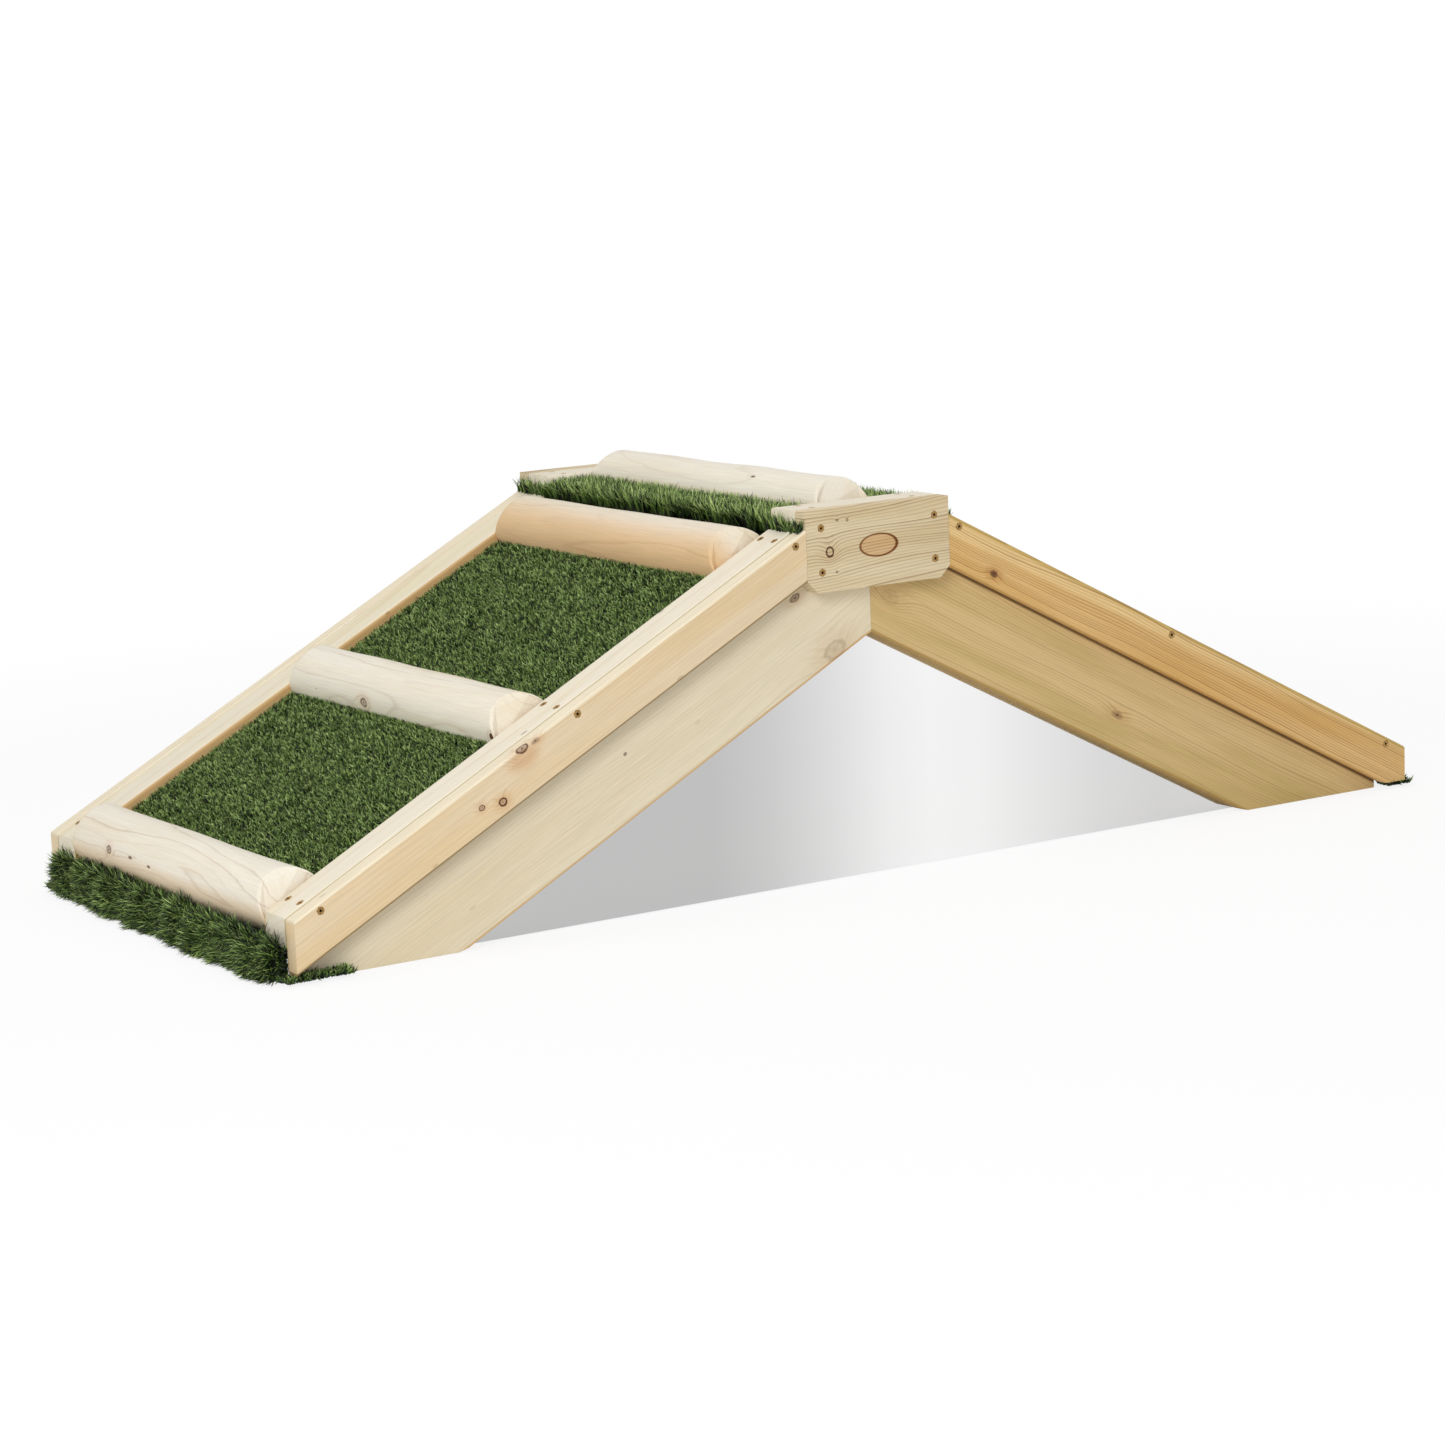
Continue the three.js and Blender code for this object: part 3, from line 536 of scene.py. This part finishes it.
# Mirror sheets: acrylic safety mirror, polished, 3 mm thick, screwed to the backings behind
# the boards. Its base colour is a painted reflection: a slow sweep of greys along its length
# that stands for the plain bright surround it shows.
sweep_start = -0.5
sweep_length = 1.0
painted_reflection_stops = ((0.0, "#c2c2c2"), (0.28, "#c2c2c2"), (0.354, "#cdcdcd"), (0.433, "#dedede"))
painted_reflection_stops += ((0.514, "#f0f0f0"), (0.575, "#f6f6f6"), (0.64, "#f4f4f4"), (0.725, "#e9e9e9"))
painted_reflection_stops += ((0.81, "#dedede"), (0.9, "#d7d7d7"))
mirror_finish, add, shader = new_material("polished acrylic mirror")
place = add("TexCoord", output="Object")
along = add("SeparateXYZ", (place,))
along = add("MapRange", (along, sweep_start, sweep_start + sweep_length))
# Painted reflection: the sweep of greys set in the mirror's base colour
painted_reflection = add("ValToRGB", (along,))
fill_ramp(painted_reflection, painted_reflection_stops)
haze = add("TexNoise", {"Vector": place, "Scale": 2.5, "Detail": 2.0})
haze = add("Math", (haze, 0.05, 0.04), operation="MULTIPLY_ADD")
set_inputs(shader, {"Base Color": painted_reflection, "Roughness": haze, "Metallic": 1.0})
dress("mirror_near", mirror_finish)
dress("mirror_far", mirror_finish)

# Rungs of the left ramp and ridge log: round softwood logs with one flat, turned smooth and
# nearly white, screwed down on the flat from below. Each end is cut on a slant above the
# rails, and hand sanding has left slight waves.
log_radius = 0.037
log_centre_drop = 0.0127
log_flat_drop = 0.0317
log_half_length = 0.2417
log_end_run = 0.014
log_pith_drop = 0.006
log_pith_shift = 0.004
low_rung_inset = 0.030
high_rung_lead = 0.142 / math.cos(slope)
landing_top = 0.42
ramp_length = {
    "left": (crown.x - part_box("ramp_rail_near_left")[0].x) / math.cos(slope),
    "right": (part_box("ramp_rail_near_right")[1].x - crown.x) / math.cos(slope),
}
stations = {}
for lie in downhill:
    low = ramp_length[lie] - low_rung_inset
    stations[lie] = {"low": low, "middle": (low + high_rung_lead) / 2, "high": high_rung_lead}


def ramp_point(lie, along, height, y=0.0):
    """A place on a ramp: along is measured down from the crown, height square to the slope."""
    x = along * math.cos(slope) + height * math.sin(slope)
    z = height * math.cos(slope) - along * math.sin(slope)
    return crown + Vector((downhill[lie] * x, y, z))


def closed_mesh(name, shape):
    """The mesh of a closed shape, its faces turned outwards."""
    bmesh.ops.recalc_face_normals(shape, faces=shape.faces)
    mesh = bpy.data.meshes.new(name)
    shape.to_mesh(mesh)
    shape.free()
    return mesh


def log_mesh(name, seed):
    """A D-shaped log along Y, its middle at the origin at the height of the rail tops."""
    arc_steps = 56
    row_steps = 44
    arris = 0.0016
    sanded_off = 0.0005
    chance = random.Random(seed)
    waves = []
    for turns in (1, 1, 2, 2, 3, 3):
        rate, start = chance.uniform(8, 40), chance.uniform(0, 2 * math.pi)
        waves.append((rate, start, turns, chance.uniform(0.0001, 0.0003)))
    flat_angle = math.asin((log_flat_drop - log_centre_drop) / log_radius)
    top = log_radius - log_centre_drop
    # Each end is eased in three steps: how far in from the cut, and how much is taken off
    eased = [(0.0, 1.0), (0.3, 0.4), (1.0, 0.0)]
    places = [(-1, step) for step in eased] + [(0, i / row_steps) for i in range(row_steps + 1)]
    places += [(1, step) for step in reversed(eased)]
    shape = bmesh.new()
    rings = []
    for side, step in places:
        ring = []
        for i in range(arc_steps + 1):
            angle = -flat_angle + (math.pi + 2 * flat_angle) * i / arc_steps
            height = log_radius * math.sin(angle) - log_centre_drop
            end = log_half_length - log_end_run * max(0.0, height / top)
            y = side * (end - step[0] * arris) if side else (2 * step - 1) * (end - 4 * arris)
            radius = log_radius - sanded_off - (step[1] * arris if side else 0.0)
            for rate, start, turns, size in waves:
                radius += size * math.sin(rate * y + turns * angle + start)
            height = max(radius * math.sin(angle) - log_centre_drop, -log_flat_drop)
            ring.append(shape.verts.new((radius * math.cos(angle), y, height)))
        rings.append(ring)
    for one, two in zip(rings, rings[1:]):
        for i in range(arc_steps + 1):
            j = (i + 1) % (arc_steps + 1)
            shape.faces.new((one[i], one[j], two[j], two[i])).smooth = i < arc_steps
    shape.faces.new(rings[0])
    shape.faces.new(list(reversed(rings[-1])))
    return closed_mesh(name, shape)


def add_piece(name, mesh, slot, *nodes):
    """A finished piece on the frame, in the place of the CAD nodes that it stands for."""
    piece = new_object(name, mesh)
    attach(piece, "root")
    if nodes:
        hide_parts(*nodes)


low_log_knots = [((-0.7534, 0.1375, 0.0732), 0.0040, 1.3, 0.45, 0.8, 0.2)]
middle_log_knots = [
    ((-0.4715, 0.0544, 0.2124), 0.0045, 1.4, 0.4, 0.8, 0.25),
    ((-0.4713, -0.2345, 0.2107), 0.0034, 1.0, 1.0, 1.0, 0.1),
]
# The seed of each log, how strong its rings are, the painted shade on its downhill underside and its knots
logs = {
    "rung_low_left": (40, 1.1, ("#e3c08a", 0.028, 0.037, 0.5), low_log_knots),
    "rung_middle_left": (41, 0.75, ("#d6d8a4", 0.028, 0.037, 0.2), middle_log_knots),
    "rung_high_left": (42, 0.75, ("#ddb47c", -0.022, 0.032, 0.85), ()),
    "ridge_log": (46, 0.4, ("#e3cfa4", 0.028, 0.037, 0.5), ()),
}
# Each log gets painted shade, in a tint of its own, on its underside on the downhill side
facing = Vector((-math.cos(slope), 0.0, -math.sin(slope)))
for node, (seed, contrast, downhill_shade, knots) in logs.items():
    lie = "level" if node == "ridge_log" else "left"
    spot = Vector((crown.x, 0.0, landing_top))
    if lie == "left":
        spot = ramp_point(lie, stations[lie][node.split("_")[1]], 0.0)
    mesh = log_mesh(node, seed)
    mesh.transform(Matrix.Translation(spot) @ Matrix.Rotation(-turn_of[lie][1], 4, "Y"))
    stain_and_shade_colour, start, end, strength = downhill_shade
    middle = spot.dot(facing)
    finish = softwood(
        "turned log softwood " + node,
        across,
        (0.0, log_pith_shift - spot.x, spot.z - log_centre_drop - log_pith_drop),
        seed + 0.3,
        ("#f0e9da", "#a87c50", "#ebe0ca"),
        (0.0130, 0.16, contrast, 14.0),
        knots,
        0.9,
        ((stain_and_shade_colour, facing, middle + start, middle + end, strength),),
    )
    mesh.materials.append(finish)
    add_piece("log_" + node, mesh, "round_log_timber", node)

# Screws: countersunk wood screws, 9 mm across the head with a six-lobed drive, in yellow
# zinc gone bronze. Three hold each fascia, four each apex plate, and pairs of them hold the
# rails down. A node tree sets one on every place of a set.
screw_finish, add, shader = new_material("yellow zinc plated steel")
place = add("TexCoord", output="Object")
wear = add("TexNoise", {"Vector": place, "Scale": 700.0, "Detail": 2.0})
wear = add("MapRange", (wear, 0.35, 0.65))
recess_shade = add("Attribute", output="Fac", attribute_name="recess_shade")
plating = add("Mix", {0: wear, 6: linear("#80623a"), 7: linear("#cba468")}, 2, data_type="RGBA")
# Painted shade in the drive and round the rim of the head
plating = add("Mix", {0: recess_shade, 6: plating, 7: linear("#1c130b")}, 2, data_type="RGBA")
rough = add("Math", (wear, 0.25, 0.3), operation="MULTIPLY_ADD")
set_inputs(shader, {"Base Color": plating, "Roughness": rough, "Metallic": 1.0})


def screw_mesh(with_shank):
    """A countersunk head, its face at z = 0 and its axis down Z, with painted shade in the drive and round
    its rim.
    """
    steps = 24
    lobe = 0.2
    # Radius, depth, whether the ring follows the lobes of the drive, and how much painted shade it gets
    rings = [
        (0.0007, 0.0018, True, 1.0),
        (0.0012, 0.0016, True, 1.0),
        (0.0014, 0.0003, True, 0.7),
        (0.0016, 0.0, True, 0.1),
        (0.0038, 0.0, False, 0.0),
        (0.0042, 0.0002, False, 0.5),
        (0.0046, 0.0006, False, 1.0),
        (0.0023, 0.0029, False, 1.0),
    ]
    if with_shank:
        rings += [(0.0022, 0.035, False, 0.0), (0.0004, 0.0399, False, 0.0)]
    verts = []
    for radius, depth, lobed, _ in rings:
        for i in range(steps):
            angle = 2 * math.pi * i / steps
            reach = radius * (1 + lobe * math.cos(6 * angle)) if lobed else radius
            verts.append((reach * math.cos(angle), reach * math.sin(angle), -depth))
    faces = [tuple(range(steps)), tuple(reversed(range(len(verts) - steps, len(verts))))]
    for ring in range(len(rings) - 1):
        for i in range(steps):
            j = (i + 1) % steps
            one, two = ring * steps, (ring + 1) * steps
            faces.append((one + i, two + i, two + j, one + j))
    mesh = new_mesh("screw", verts, faces)
    dark = mesh.attributes.new("recess_shade", "FLOAT", "POINT")
    for i in range(len(verts)):
        dark.data[i].value = rings[i // steps][3]
    return mesh


def build_setting_tree():
    """Sets a copy of an object on each vertex, turned by the vertex's own turn attribute."""
    inputs = {"Geometry": ("Places",), "Object": ("Copy",), "Material": ("Material",)}
    tree, add, given = new_group("set on places", "Geometry", inputs, {"Geometry": ("Set",)})
    copy = add("GeometryNodeObjectInfo", {"Object": given["Copy"]}, "Geometry")
    turn = add("GeometryNodeInputNamedAttribute", {"Name": "turn"}, data_type="FLOAT_VECTOR")
    turn = add("FunctionNodeEulerToRotation", (turn,))
    points = add("GeometryNodeMeshToPoints", {"Mesh": given["Places"]})
    copies = {"Points": points, "Instance": copy, "Rotation": turn}
    copies = add("GeometryNodeInstanceOnPoints", copies)
    copies = add("GeometryNodeRealizeInstances", (copies,))
    copies = add("GeometryNodeSetMaterial", {"Geometry": copies, "Material": given["Material"]})
    add("NodeGroupOutput", (copies,))
    return tree


def grown(name, seedbed, tree, inputs):
    """The plain mesh that a node tree makes out of a seedbed."""
    holder = new_object(name, seedbed)
    modifier = holder.modifiers.new("grow", "NODES")
    modifier.node_group = tree
    for item in tree.interface.items_tree:
        if item.in_out == "INPUT" and item.name in inputs:
            modifier[item.identifier] = inputs[item.name]
    graph = bpy.context.evaluated_depsgraph_get()
    mesh = bpy.data.meshes.new_from_object(holder.evaluated_get(graph))
    mesh.name = name
    bpy.data.objects.remove(holder)
    return mesh


setting_tree = build_setting_tree()


def add_screws(name, places, with_shank, *nodes):
    """A set of screws, each given by its place, the direction that it faces and its spin."""
    points = new_mesh(name + " places", [spot for spot, _, _ in places])
    turns = points.attributes.new("turn", "FLOAT_VECTOR", "POINT")
    for i, (_, direction, spin) in enumerate(places):
        turn = direction.to_track_quat("Z", "Y").to_matrix() @ Matrix.Rotation(spin, 3, "Z")
        turns.data[i].vector = tuple(turn.to_euler("XYZ"))
    screw = bpy.data.objects.new("screw", screw_mesh(with_shank))
    mesh = grown(name, points, setting_tree, {"Copy": screw, "Material": screw_finish})
    add_piece(name, mesh, "screw_steel", *nodes)


face_plane = 0.3101
rail_screw_rows = (0.280, 0.253)
end_screw_start = 0.025
rail_screw_lead = 0.028
landing_screw_reach = 0.067
head_sink = 0.0001
spins = random.Random(7)
face_nodes = sorted(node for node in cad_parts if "screw" in node)
face_places = []
for node in face_nodes:
    low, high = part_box(node)
    out = -1 if "near" in node else 1
    middle = (low + high) / 2
    middle.y = out * face_plane
    face_places.append((middle, Vector((0, out, 0)), spins.uniform(0, 2 * math.pi)))
add_screws("face_screws", face_places, True, *face_nodes)

top_places = []
for y in [out * row for row in rail_screw_rows for out in (-1, 1)]:
    for lie, levels in stations.items():
        up = Vector(left_up if lie == "left" else right_up)
        alongs = [ramp_length[lie] - end_screw_start]
        alongs += [levels[level] - rail_screw_lead for level in ("middle", "high")]
        for along in alongs:
            top_places.append((ramp_point(lie, along, -head_sink, y), up, spins.uniform(0, 2 * math.pi)))
    for reach in (-landing_screw_reach, landing_screw_reach):
        spot = Vector((crown.x + reach, y, landing_top - head_sink))
        top_places.append((spot, Vector((0, 0, 1)), spins.uniform(0, 2 * math.pi)))
add_screws("rail_top_screws", top_places, False)

# Turf mats: woven backing of the artificial turf, 6 mm thick, glued down on the decks and
# folded over each toe. Hardly seen under the pile, so it is dark and rough.
turf_base_top = 0.032
turf_thickness = 0.006
deck_gap = 0.0001
mat_half_width = 0.2885
mat_finish, add, shader = new_material("woven turf backing")
place = add("TexCoord", output="Object")
tufts = add("TexNoise", {"Vector": place, "Scale": 420.0, "Detail": 3.0})
weave = add("Mix", {0: tufts, 6: linear("#141f0e"), 7: linear("#33481f")}, 2, data_type="RGBA")
relief = add("Bump", {"Height": tufts, "Strength": 0.8, "Distance": 0.002})
set_inputs(shader, {"Base Color": weave, "Roughness": 0.9, "Normal": relief})


def add_mat(name, outline, node):
    """A piece of mat, given by its outline in the XZ plane."""
    shape = bmesh.new()
    near = [shape.verts.new((x, -mat_half_width, z)) for x, z in outline]
    far = [shape.verts.new((x, mat_half_width, z)) for x, z in outline]
    for i in range(len(outline)):
        j = (i + 1) % len(outline)
        shape.faces.new((near[i], near[j], far[j], far[i]))
    shape.faces.new(near)
    shape.faces.new(list(reversed(far)))
    mesh = closed_mesh(name, shape)
    mesh.materials.append(mat_finish)
    add_piece(name, mesh, "artificial_turf", node)


mat_upper_lead = 0.1178
mat_lower_lead = 0.015
landing_start, landing_end = (corner.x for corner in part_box("landing_rail_near"))
landing_base_top = 0.388
for lie in downhill:
    alongs = (mat_upper_lead, ramp_length[lie] + mat_lower_lead)
    outline = [ramp_point(lie, along, -turf_base_top) for along in alongs]
    outline += [ramp_point(lie, along, -turf_base_top - turf_thickness) for along in reversed(alongs)]
    outline = [(point.x, point.z) for point in outline]
    add_mat("turf_mat_" + lie, outline, "turf_" + lie)
underside = landing_base_top - turf_thickness + deck_gap
outline = [(landing_start, underside), (landing_end, underside)]
outline += [(landing_end, landing_base_top), (landing_start, landing_base_top)]
add_mat("turf_mat_landing", outline, "turf_landing")

# Turf pile: soft polyethylene blades, some of them straw-coloured. Each blade is painted
# darker towards its root, painted shade of the pile closing over it, and is paler at the
# tip. On the ramps only their upper 10 mm are made. A real blade is 1 mm wide, and here it
# is 1 to 3 mm wide, so that single blades show.
blade_finish, add, shader = new_material("moulded polyethylene turf blades")
tip = add("Attribute", output="Fac", attribute_name="tip")
tone = add("Attribute", output="Fac", attribute_name="tone")
# Painted shade: each blade darkens from its tip down towards its root
root_shade_colour = add("ValToRGB", (tip,))
fill_ramp(root_shade_colour, ((0.0, "#1a2411"), (0.5, "#6c8a46"), (1.0, "#dcf0ac")))
blade_colour = add("ValToRGB", (tone,))
tone_stops = ((0.0, "#0e1512"), (0.25, "#344434"), (0.5, "#98ad80"), (0.8, "#fcffdc"), (1.0, "#fffff4"))
fill_ramp(blade_colour, tone_stops)
blade_mix = {0: 1.0, 6: root_shade_colour, 7: blade_colour}
blade_mix = add("Mix", blade_mix, 2, data_type="RGBA", blend_type="MULTIPLY")
set_inputs(shader, {"Base Color": blade_mix, "Roughness": 0.5, "Specular IOR Level": 0.3})


def blade_mesh(name, width_share, bend):
    """A tapered blade of unit height on Z that bends over X, its height kept as tip."""
    steps = 2
    taper = 0.6
    droop = 0.14
    verts, tips = [], []
    for share in [i / steps for i in range(steps)]:
        half = width_share / 2 * (1 - taper * share**2)
        for side in (-1, 1):
            verts.append((bend * share**2, side * half, share - droop * share**3))
            tips.append(share)
    verts.append((bend, 0.0, 1 - droop))
    tips.append(1.0)
    faces = [(2 * i, 2 * i + 2, 2 * i + 3, 2 * i + 1) for i in range(steps - 1)]
    faces.append((2 * steps - 2, 2 * steps, 2 * steps - 1))
    mesh = new_mesh(name, verts, faces)
    kept = mesh.attributes.new("tip", "FLOAT", "POINT")
    for i, share in enumerate(tips):
        kept.data[i].value = share
    return mesh


def blade_set(name, kinds):
    """A collection of blades, each as wide as its share of its height and bent in its own way."""
    made = bpy.data.collections.new(name)
    for width_share, bend in kinds:
        blade = blade_mesh(name, width_share, bend)
        made.objects.link(bpy.data.objects.new(name, blade))
    return made


short_blades = blade_set("short blades", ((0.155, 0.10), (0.135, 0.30), (0.165, 0.50)))
long_blades = blade_set("long blades", ((0.076, 0.15), (0.066, 0.35), (0.084, 0.50)))
floor_gap = 0.0006


def build_pile_tree():
    """Strews blades over a seedbed, each leaning and turned at random, in uneven clumps."""
    inputs = {"Geometry": ("Seedbed",), "Collection": ("Blades",), "Material": ("Material",)}
    inputs.update({"Int": ("Seed",), "Float": ("Density", "Height", "Lean", "Clumps", "Brightness")})
    tree, add, given = new_group("turf pile", "Geometry", inputs, {"Geometry": ("Pile",)})
    seed = given["Seed"]
    strewn = {"Mesh": given["Seedbed"], "Density": given["Density"], "Seed": seed}
    strewn = add("GeometryNodeDistributePointsOnFaces", strewn, None).outputs
    kinds = {"Collection": given["Blades"], "Separate Children": True, "Reset Children": True}
    kinds = add("GeometryNodeCollectionInfo", kinds)
    back = add("Math", (given["Lean"], -1.0), operation="MULTIPLY")
    least = add("CombineXYZ", (back, back, 0.0))
    most = add("CombineXYZ", (given["Lean"], given["Lean"], 2 * math.pi))
    lean = add("FunctionNodeRandomValue", {0: least, 1: most, "Seed": seed}, data_type="FLOAT_VECTOR")
    lean = add("FunctionNodeEulerToRotation", (lean,))
    turn = {"Rotation": strewn["Rotation"], "Rotate By": lean}
    turn = add("FunctionNodeRotateRotation", turn, rotation_space="LOCAL")
    swell = add("TexNoise", {"Scale": 28.0, "Detail": 1.0})
    swell = add("Math", (swell, 0.5), operation="SUBTRACT")
    swell = add("Math", (swell, given["Clumps"], 1.0), operation="MULTIPLY_ADD")
    size = add("FunctionNodeRandomValue", {2: 0.7, 3: 1.05, "Seed": 5}, 1, data_type="FLOAT")
    size = add("Math", (size, swell), operation="MULTIPLY")
    size = add("Math", (size, given["Height"]), operation="MULTIPLY")
    pick = add("FunctionNodeRandomValue", {4: 0, 5: 2, "Seed": 9}, 2, data_type="INT")
    pile = {"Points": strewn["Points"], "Instance": kinds, "Pick Instance": True, "Instance Index": pick}
    pile = add("GeometryNodeInstanceOnPoints", {**pile, "Rotation": turn, "Scale": size})
    # Painted shade: tuft noise lifts the tone in patches, so the gaps between tufts stay darker
    tuft = add("TexNoise", {"Scale": 190.0, "Detail": 1.0})
    tuft = add("MapRange", (tuft, 0.44, 0.58, 0.0, 0.42))
    tone = add("FunctionNodeRandomValue", {2: 0.0, 3: 1.0, "Seed": 3}, 1, data_type="FLOAT")
    tone = add("Math", (tone, 2.2), operation="POWER")
    tone = add("Math", (tone, 1.1, tuft), operation="MULTIPLY_ADD")
    tone = add("Math", (tone, given["Brightness"]), operation="MULTIPLY")
    pile = {"Geometry": pile, "Name": "tone", "Value": tone}
    pile = add("GeometryNodeStoreNamedAttribute", pile, data_type="FLOAT", domain="INSTANCE")
    pile = add("GeometryNodeRealizeInstances", (pile,))
    spot = add("GeometryNodeInputPosition")
    spot = add("SeparateXYZ", (spot,), None).outputs
    lifted = add("Math", (spot["Z"], floor_gap), operation="MAXIMUM")
    spot = add("CombineXYZ", (spot["X"], spot["Y"], lifted))
    pile = add("GeometryNodeSetPosition", {"Geometry": pile, "Position": spot})
    pile = add("GeometryNodeSetMaterial", {"Geometry": pile, "Material": given["Material"]})
    add("NodeGroupOutput", (pile,))
    return tree


pile_tree = build_pile_tree()


def seedbed(name, rows):
    """An open sheet over rows of points; its upper side is where the pile grows."""
    width = len(rows[0])
    faces = []
    for row in range(len(rows) - 1):
        for i in range(width - 1):
            corner = row * width + i
            faces.append((corner, corner + 1, corner + width + 1, corner + width))
    return new_mesh(name, [point for row in rows for point in row], faces)


def add_pile(name, rows, blades, seed, **growth):
    """A piece of pile on a seedbed given by its rows. Growth is the tree's other inputs.

    Density is in blades to the square metre, and lean in radians.
    """
    inputs = {key.capitalize(): value for key, value in growth.items()}
    inputs.update({"Blades": blades, "Seed": seed, "Material": blade_finish})
    mesh = grown(name, seedbed(name + " bed", rows), pile_tree, inputs)
    add_piece(name, mesh, "artificial_turf")


field_half_width = 0.2415
clear_of_log = 0.034
ramp_pile = 0.0095
bed_lift = 0.0170
toe_reach = 0.001


def strips(start, end, count):
    """The ends of a number of equal strips of pile between two places along a ramp."""
    step = (end - start) / count
    return [[(start + (i + j) * step, bed_lift) for j in (0, 1)] for i in range(count)]


levels = stations["left"]
toe = ramp_length["right"] + toe_reach
pile_strips = {
    "left": strips(levels["high"] + clear_of_log, levels["middle"] - clear_of_log, 2)
    + strips(levels["middle"] + clear_of_log, levels["low"] - clear_of_log, 2),
    "right": strips(mat_upper_lead, toe, 4),
}
# The right ramp's last strip bends down over the toe to meet the skirt
toe_bend = ((0.007, bed_lift - 0.004), (0.012, 0.003))
pile_strips["right"][-1] += [(toe + run, lift) for run, lift in toe_bend]
for lie, profiles in pile_strips.items():
    for number, profile in enumerate(profiles):
        ys = [-downhill[lie] * field_half_width, downhill[lie] * field_half_width]
        rows = [[ramp_point(lie, along, lift - turf_base_top, y) for along, lift in profile] for y in ys]
        name = "turf_pile_%s_%d" % (lie, number + 1)
        growth = {"density": 480000.0, "lean": 0.5, "clumps": 0.3, "brightness": 1.0}
        add_pile(name, rows, short_blades, 10 + number, height=ramp_pile, **growth)

# Landing pile: a strip each side of the ridge log, and the tufts that stand up through the
# gaps at the ends of the landing rails.
ridge_clear = 0.036
landing_overhang = 0.004
landing_bed_lift = 0.004
landing_bed = landing_base_top + landing_bed_lift
landing_pile = 0.0310
gap_piles = {"left": 0.0260, "right": 0.0150}
gap_width = 0.006
gap_clear = 0.001
gap_ys = (0.243, 0.306)
landing_growth = {"blades": long_blades, "lean": 0.35, "brightness": 1.0}
landing_strips = [(landing_start - landing_overhang, crown.x - ridge_clear)]
landing_strips += [(crown.x + ridge_clear, landing_end + landing_overhang)]
for number, ends in enumerate(landing_strips):
    rows = [[(x, y, landing_bed) for x in ends] for y in (-field_half_width, field_half_width)]
    name = "turf_pile_landing_%d" % (number + 1)
    growth = {"height": landing_pile, "density": 700000.0, "clumps": 0.3}
    add_pile(name, rows, seed=20 + number, **growth, **landing_growth)
gap_starts = {"left": landing_start - gap_width - gap_clear, "right": landing_end + gap_clear}
for end_name, start in gap_starts.items():
    for edge, out in outward.items():
        xs = (start, start + gap_width)
        rows = [[(x, y, landing_bed) for x in xs] for y in sorted(out * y for y in gap_ys)]
        name = "turf_tufts_%s_%s" % (edge, end_name)
        growth = {"height": gap_piles[end_name], "density": 800000.0, "clumps": 0.5}
        add_pile(name, rows, seed=24, **growth, **landing_growth)

# Turf skirts: the turf folds over each toe and hangs in front of the rail ends, its pile
# standing out in a thick roll that ends in uneven clumps on the ground.
skirt_depth = 0.008
skirt_back_gap = 0.0004
skirt_ease = (0.004, 0.010)
# The pile's bed: how far out from the rail ends, and how high above the mat's top or the floor
bed_top = ((0.002, 0.001), (0.005, -0.001), (0.008, -0.008))
bed_foot = ((0.011, 0.014), (0.009, 0.004))
end_bed = (0.001, 0.011)
end_clear = 0.002
skirt_ends = (-0.284, 0.2895)
skirt_bulges = (-0.007, 0.005)
skirt_fall = 0.013
skirt_pile = 0.0225
end_piles = (0.0065, 0.0110)
flap_pile = 0.0115
flap_ys = (0.286, 0.308)
flap_lengths = {"left": 0.066, "right": 0.024}
flap_overhang = 0.010
flap_lift = 0.003
# Painted shade: the skirts' pile, their ends and the flaps are made darker than the fields, the left skirt
# most
skirt_brightness = {"left": 0.66, "right": 0.84}
for lie, side in downhill.items():
    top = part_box("turf_skirt_" + lie)[1].z - skirt_fall
    back = ramp_point(lie, ramp_length[lie], 0.0).x
    inner = back + side * skirt_back_gap
    front = back + side * skirt_depth
    outline = [(inner, floor_gap), (front, floor_gap), (front, top - skirt_ease[1])]
    outline += [(back + side * skirt_ease[0], top), (inner, top)]
    add_mat("turf_skirt_mat_" + lie, outline, "turf_skirt_" + lie)
    profile = [(back + side * reach, top + lift) for reach, lift in bed_top]
    profile += [(back + side * reach, lift) for reach, lift in bed_foot]
    rows = []
    for y, bulge in zip(skirt_ends, skirt_bulges):
        rows.append([(x + side * bulge, side * y, z) for x, z in profile])
    growth = {"height": skirt_pile, "density": 1000000.0, "lean": 0.7, "clumps": 1.4}
    add_pile("turf_skirt_pile_" + lie, rows, long_blades, 30, brightness=skirt_brightness[lie], **growth)
    for number, y in enumerate(skirt_ends):
        xs = [back + side * reach for reach in (end_bed if number else end_bed[::-1])]
        y += end_clear if number else -end_clear
        rows = [[(x, side * y, z) for z in (top, bed_foot[1][1])] for x in xs]
        name = "turf_skirt_end_%s_%d" % (lie, number + 1)
        growth = {"height": end_piles[number], "density": 800000.0, "lean": 0.8, "clumps": 0.6}
        add_pile(name, rows, short_blades, 34, brightness=0.8, **growth)
    for edge, out in outward.items():
        xs = sorted((back + side * flap_overhang, back - side * flap_lengths[lie]))
        rows = [[(x, y, flap_lift) for x in xs] for y in sorted(out * y for y in flap_ys)]
        name = "turf_flap_pile_%s_%s" % (edge, lie)
        growth = {"height": flap_pile, "density": 600000.0, "lean": 1.0, "clumps": 0.9}
        add_pile(name, rows, short_blades, 40, brightness=0.8, **growth)
